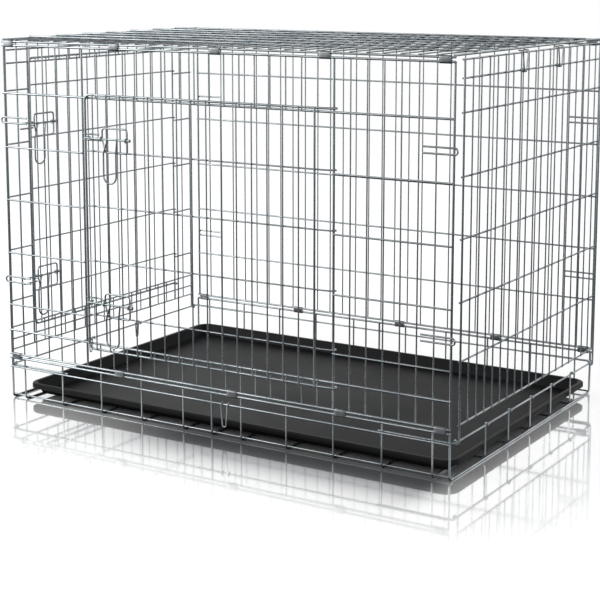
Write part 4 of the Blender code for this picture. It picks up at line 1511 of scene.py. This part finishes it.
@dataclass
class Tray:
    """The plastic tray: floor, leaning walls, flat rim and skirt, as one moulded sheet."""

    name: str = "tray_shell"
    left: float = -552 * MM
    right: float = 581 * MM
    half_width: float = 366 * MM
    rim_z: float = 36 * MM
    skirt_z: float = 25 * MM
    rim_width: float = 11 * MM
    slope: float = 14 * MM
    floor_edge: float = 12 * MM
    sheet: float = 2.4 * MM
    fold: float = 2.4 * MM
    fold_steps: int = 5
    corner: float = 34 * MM
    corner_steps: int = 16
    floor_z: float = 8.8 * MM
    edge_width: float = 0.5 * MM

    def _outline(self, inset: float, z: float) -> Path:
        """A rounded rectangle inside the tray's outer edge.

        Args:
            inset: distance from the edge.
            z: its height.

        Returns:
            The points round it.
        """
        corner = self.corner - inset
        left, right, half = self.left + inset, self.right - inset, self.half_width - inset
        centres = ((right - corner, half - corner), (left + corner, half - corner),
                   (left + corner, corner - half), (right - corner, corner - half))
        points = []
        for quarter, (x, y) in enumerate(centres):
            for step in range(self.corner_steps + 1):
                angle = pi / 2 * (quarter + step / self.corner_steps)
                points.append(Vector((x + corner * cos(angle), y + corner * sin(angle), z)))
        return points

    def build(self, finish: bpy.types.Material) -> None:
        """Make the tray.

        Args:
            finish: its material.
        """
        middle = self.sheet / 2
        low, high = self.floor_z + middle, self.rim_z - middle
        wall = self.rim_width + self.slope
        section = [Vector((inset, 0.0, z)) for inset, z in (
            (middle, self.skirt_z), (middle, high), (self.rim_width, high), (wall, low),
            (wall + self.floor_edge, low))]
        shape = bmesh.new()
        rows = [[shape.verts.new(point) for point in self._outline(place.x, place.z)]
                for place in rounded(section, self.fold, self.fold_steps)]
        for outer, inner in zip(rows, rows[1:]):
            for index in range(len(outer)):
                after = (index + 1) % len(outer)
                shape.faces.new((outer[index], outer[after], inner[after], inner[index]))
        floor = rows[-1]
        for index in range(len(floor) // 2 - 1):
            shape.faces.new((floor[index], floor[index + 1], floor[-index - 2],
                             floor[-index - 1]))
        piece = placed(meshed(shape, self.name), self.name, "tray", ("tray",), finish)
        walled(piece, self.sheet, self.edge_width, even=True)


# -------------------------------------------------------------------- studio


@dataclass(frozen=True)
class Lamp:
    """A soft square lamp that faces the crate, with its side in metres and power in watts."""

    name: str
    place: Place
    size: float
    power: float
    aim: Place = (0.0, 0.0, 0.4)

    def hang(self) -> None:
        """Hang the lamp."""
        data = bpy.data.lights.new(self.name, "AREA")
        data.size, data.energy = self.size, self.power
        lamp = shown(self.name, data)
        lamp.location = self.place
        way = Vector(self.aim) - Vector(self.place)
        lamp.rotation_euler = way.to_track_quat("-Z", "Y").to_euler()


@dataclass
class Studio:
    """The white studio: camera, floor, background and soft light."""

    azimuth: float = radians(31.774)
    pitch: float = radians(8.795)
    place: Place = (1.8729, -3.0367, 1.0275)
    sensor: float = 36.0
    picture_pixels: float = 600.0
    focal_pixels: float = 1526.2
    shift_pixels: float = -100.0
    far: float = 200.0
    floor_half: float = 40.0
    overhead: Span = (0.3, 0.6)
    overhead_dark: float = 0.85
    lamps: tuple[Lamp, ...] = (Lamp("key", (-2.9, -1.6, 1.6), 2.0, 28.0),
                               Lamp("front", (-2.4, -2.3, 2.3), 2.4, 30.0))

    def camera(self) -> None:
        """Set the camera at the photograph's viewing angle."""
        data = bpy.data.cameras.new("camera")
        data.sensor_width, data.clip_end = self.sensor, self.far
        data.lens = self.focal_pixels / self.picture_pixels * self.sensor
        data.shift_y = self.shift_pixels / self.picture_pixels
        camera = shown("camera", data)
        camera.location = self.place
        camera.rotation_euler = (pi / 2 - self.pitch, 0.0, self.azimuth)
        bpy.context.scene.camera = camera

    def floor(self) -> None:
        """Lay the floor."""
        half = self.floor_half
        mesh = bpy.data.meshes.new("floor")
        mesh.from_pydata([(-half, -half, 0), (half, -half, 0), (half, half, 0), (-half, half, 0)],
                         [], [(0, 1, 2, 3)])
        mesh.materials.append(FloorFinish().material())
        floor = shown("floor", mesh)

    def background(self) -> None:
        """Make the world: white to look at, and for gloss darker overhead."""
        world = bpy.data.worlds.new("studio")
        bpy.context.scene.world = world
        world.use_nodes = True
        graph = Graph(world.node_tree)
        height = graph.axes("Generated")[2]
        glossy = graph.value("ShaderNodeLightPath", output="Is Glossy Ray")
        level = 1.0 - glossy * height.step(*self.overhead) * self.overhead_dark
        sky = graph.add("ShaderNodeBackground", {},
                        {"Color": (1.0, 1.0, 1.0, 1.0), "Strength": level})
        graph.add("ShaderNodeOutputWorld", {}, {"Surface": sky.outputs[0]})

    def build(self) -> None:
        """Set up camera, floor, background and lamps."""
        self.camera()
        self.floor()
        self.background()
        for lamp in self.lamps:
            lamp.hang()
        bpy.context.scene.view_settings.view_transform = "Standard"
        LOG.info("studio is set up")


# ---------------------------------------------------------------------- main


@dataclass
class Crate:
    """The whole crate, with the places that its pieces share."""

    side_bars: tuple[float, ...] = (232 * MM, 356 * MM, 483 * MM, 608 * MM, 734 * MM)
    side_header: float = 798 * MM
    side_sill: float = 168 * MM
    left_lines: tuple[float, ...] = (139 * MM, 829 * MM)
    right_lines: tuple[float, ...] = (244 * MM, 365 * MM, 492 * MM, 616 * MM, 742 * MM, 809 * MM)
    hook_cells: Span = (7.5, 12.5)
    closing_line: int = 16
    base_clip_cells: tuple[float, ...] = (0.5, 8.5, 16.5, 23.5, 29.5)
    roof_clip_cells: tuple[float, ...] = (0.5, 8.5, 15.5, 22.5, 29.5)

    def panels(self, shop: Workshop, front_way: DoorWay, side_way: DoorWay) -> None:
        """Make the five panels.

        Args:
            shop: where the wire pieces are started.
            front_way: the front's door opening.
            side_way: the left end's.
        """
        LongPanel(shop.piece("front_wires", "front_panel"), FRONT,
                  catch_heights=(290 * MM, 668 * MM), catch_out=9 * MM, catch_side=1,
                  way=front_way).build()
        LongPanel(shop.piece("back_wires", "back_panel"), BACK,
                  catch_heights=(285 * MM, 660 * MM), catch_out=1.6 * MM,
                  catch_side=-1).build()
        RoofPanel(shop.piece("roof_wires", "roof", "roof_panel")).build()
        bottom, top = EndPanel.bottom, EndPanel.top
        EndPanel(shop.piece("left_end_wires", "left_end", "left_end_panel"), LEFT,
                 (bottom, self.side_sill, self.side_header, top), self.left_lines,
                 self.side_bars, side_way).build()
        EndPanel(shop.piece("right_end_wires", "right_end", "right_end_panel"), RIGHT,
                 (bottom, top), self.right_lines).build()

    def doors(self, shop: Workshop, warm: Workshop,
              ways: Sequence[tuple[str, DoorWay]]) -> None:
        """Make the doors and their latches.

        Args:
            shop: where the doors are started.
            warm: where the latches are, in the warmer finish.
            ways: the door openings by side.
        """
        for side, way in ways:
            Door(shop.piece(f"{side}_door_wires", f"{side}_door"), way).build()
        for bar, level in zip(LATCH.bars, ("lower", "upper")):
            for side, way in ways:
                name = f"{side}_latch_{level}"
                Latch(warm.piece(f"{name}_rod", name), way, bar).build()

    def hooks(self, warm: Workshop, base: BaseFrame) -> None:
        """Make the roof hooks, the tray hooks and the closing hook.

        Args:
            warm: where they are started, in the warmer finish.
            base: the base, on whose second rail the closing hook hangs.
        """
        for cell, place in zip(self.hook_cells, ("front", "back")):
            for side, plane, lines in (("left", LEFT, self.left_lines),
                                       ("right", RIGHT, self.right_lines)):
                piece = warm.hook(f"roof_hook_{side}_{place}")
                RoofHook(piece, plane, cell, bar_z=lines[-1]).build()
            centre = LEFT.at(cell * LEFT.pitch, SIZES.end_axis_z, -SIZES.end_eye)
            Hairpin(warm.hook(f"tray_hook_{place}"), LEFT, centre, width=14 * MM, foot=7 * MM,
                    bottom_z=42 * MM, rail_radius=SIZES.end_rail).build()
        centre = Vector((-SIZES.length / 2 + self.closing_line * FRONT.pitch,
                         -(base.upright_y + base.second_step), SIZES.second_rail_z))
        Hairpin(warm.hook("closing_hook"), FRONT, centre, width=17 * MM, foot=9 * MM,
                bottom_z=27 * MM, rail_radius=base.second_radius).build()

    def clips(self, sheet: bpy.types.Material) -> None:
        """Make the clips of the four pairs of rails.

        Args:
            sheet: their material.
        """
        rails = (("base", SIZES.base_rail_z, self.base_clip_cells),
                 ("roof", SIZES.panel_top, self.roof_clip_cells))
        for plane, side in ((FRONT, "front"), (BACK, "back")):
            for body, z, cells in rails:
                nodes = tuple(f"{body}_clip_{side}_{n}" for n in range(1, len(cells) + 1))
                Clips(plane, f"{body}_clips_{side}", body, nodes, z, cells).build(sheet)


def main() -> None:
    """Build the crate and its studio."""
    logging.basicConfig(level=logging.INFO, format="%(name)s %(message)s")
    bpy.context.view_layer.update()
    trees = BentWires(), WireRow(), WeldBeads()
    shop = Workshop(GalvanisedFinish().material(), *trees)
    warm_finish = GalvanisedFinish(name="warm_galvanised_wire", tint_share=0.84)
    warm = Workshop(warm_finish.material(), *trees)
    sheet, plastic = SheetFinish().material(), PlasticFinish().material()

    crate = Crate()
    front_way = DoorWay(FRONT, jamb_line=6, hinge_line=23, edge_line=6.38,
                        post_out=-SIZES.welded, post_radius=SIZES.rail, frame_gap=SIZES.gap,
                        heights=SIZES.bars, sill=SIZES.sill_z, bracket_start=68 * MM,
                        keeper_back=0.0)
    side_way = DoorWay(LEFT, jamb_line=2, hinge_line=17, edge_line=2.28, post_out=0.0,
                       post_radius=SIZES.end_post, frame_gap=SIZES.eye_gap,
                       heights=(*crate.side_bars, crate.side_header), sill=crate.side_sill,
                       bracket_start=33 * MM, keeper_back=31 * MM)
    base = BaseFrame(shop.piece("base_wires", "base", "base_frame"))
    base.build()
    crate.panels(shop, front_way, side_way)
    crate.doors(shop, warm, (("front", front_way), ("side", side_way)))
    crate.hooks(warm, base)
    crate.clips(sheet)
    Tray().build(plastic)
    Studio().build()


if __name__ == "__main__":
    main()
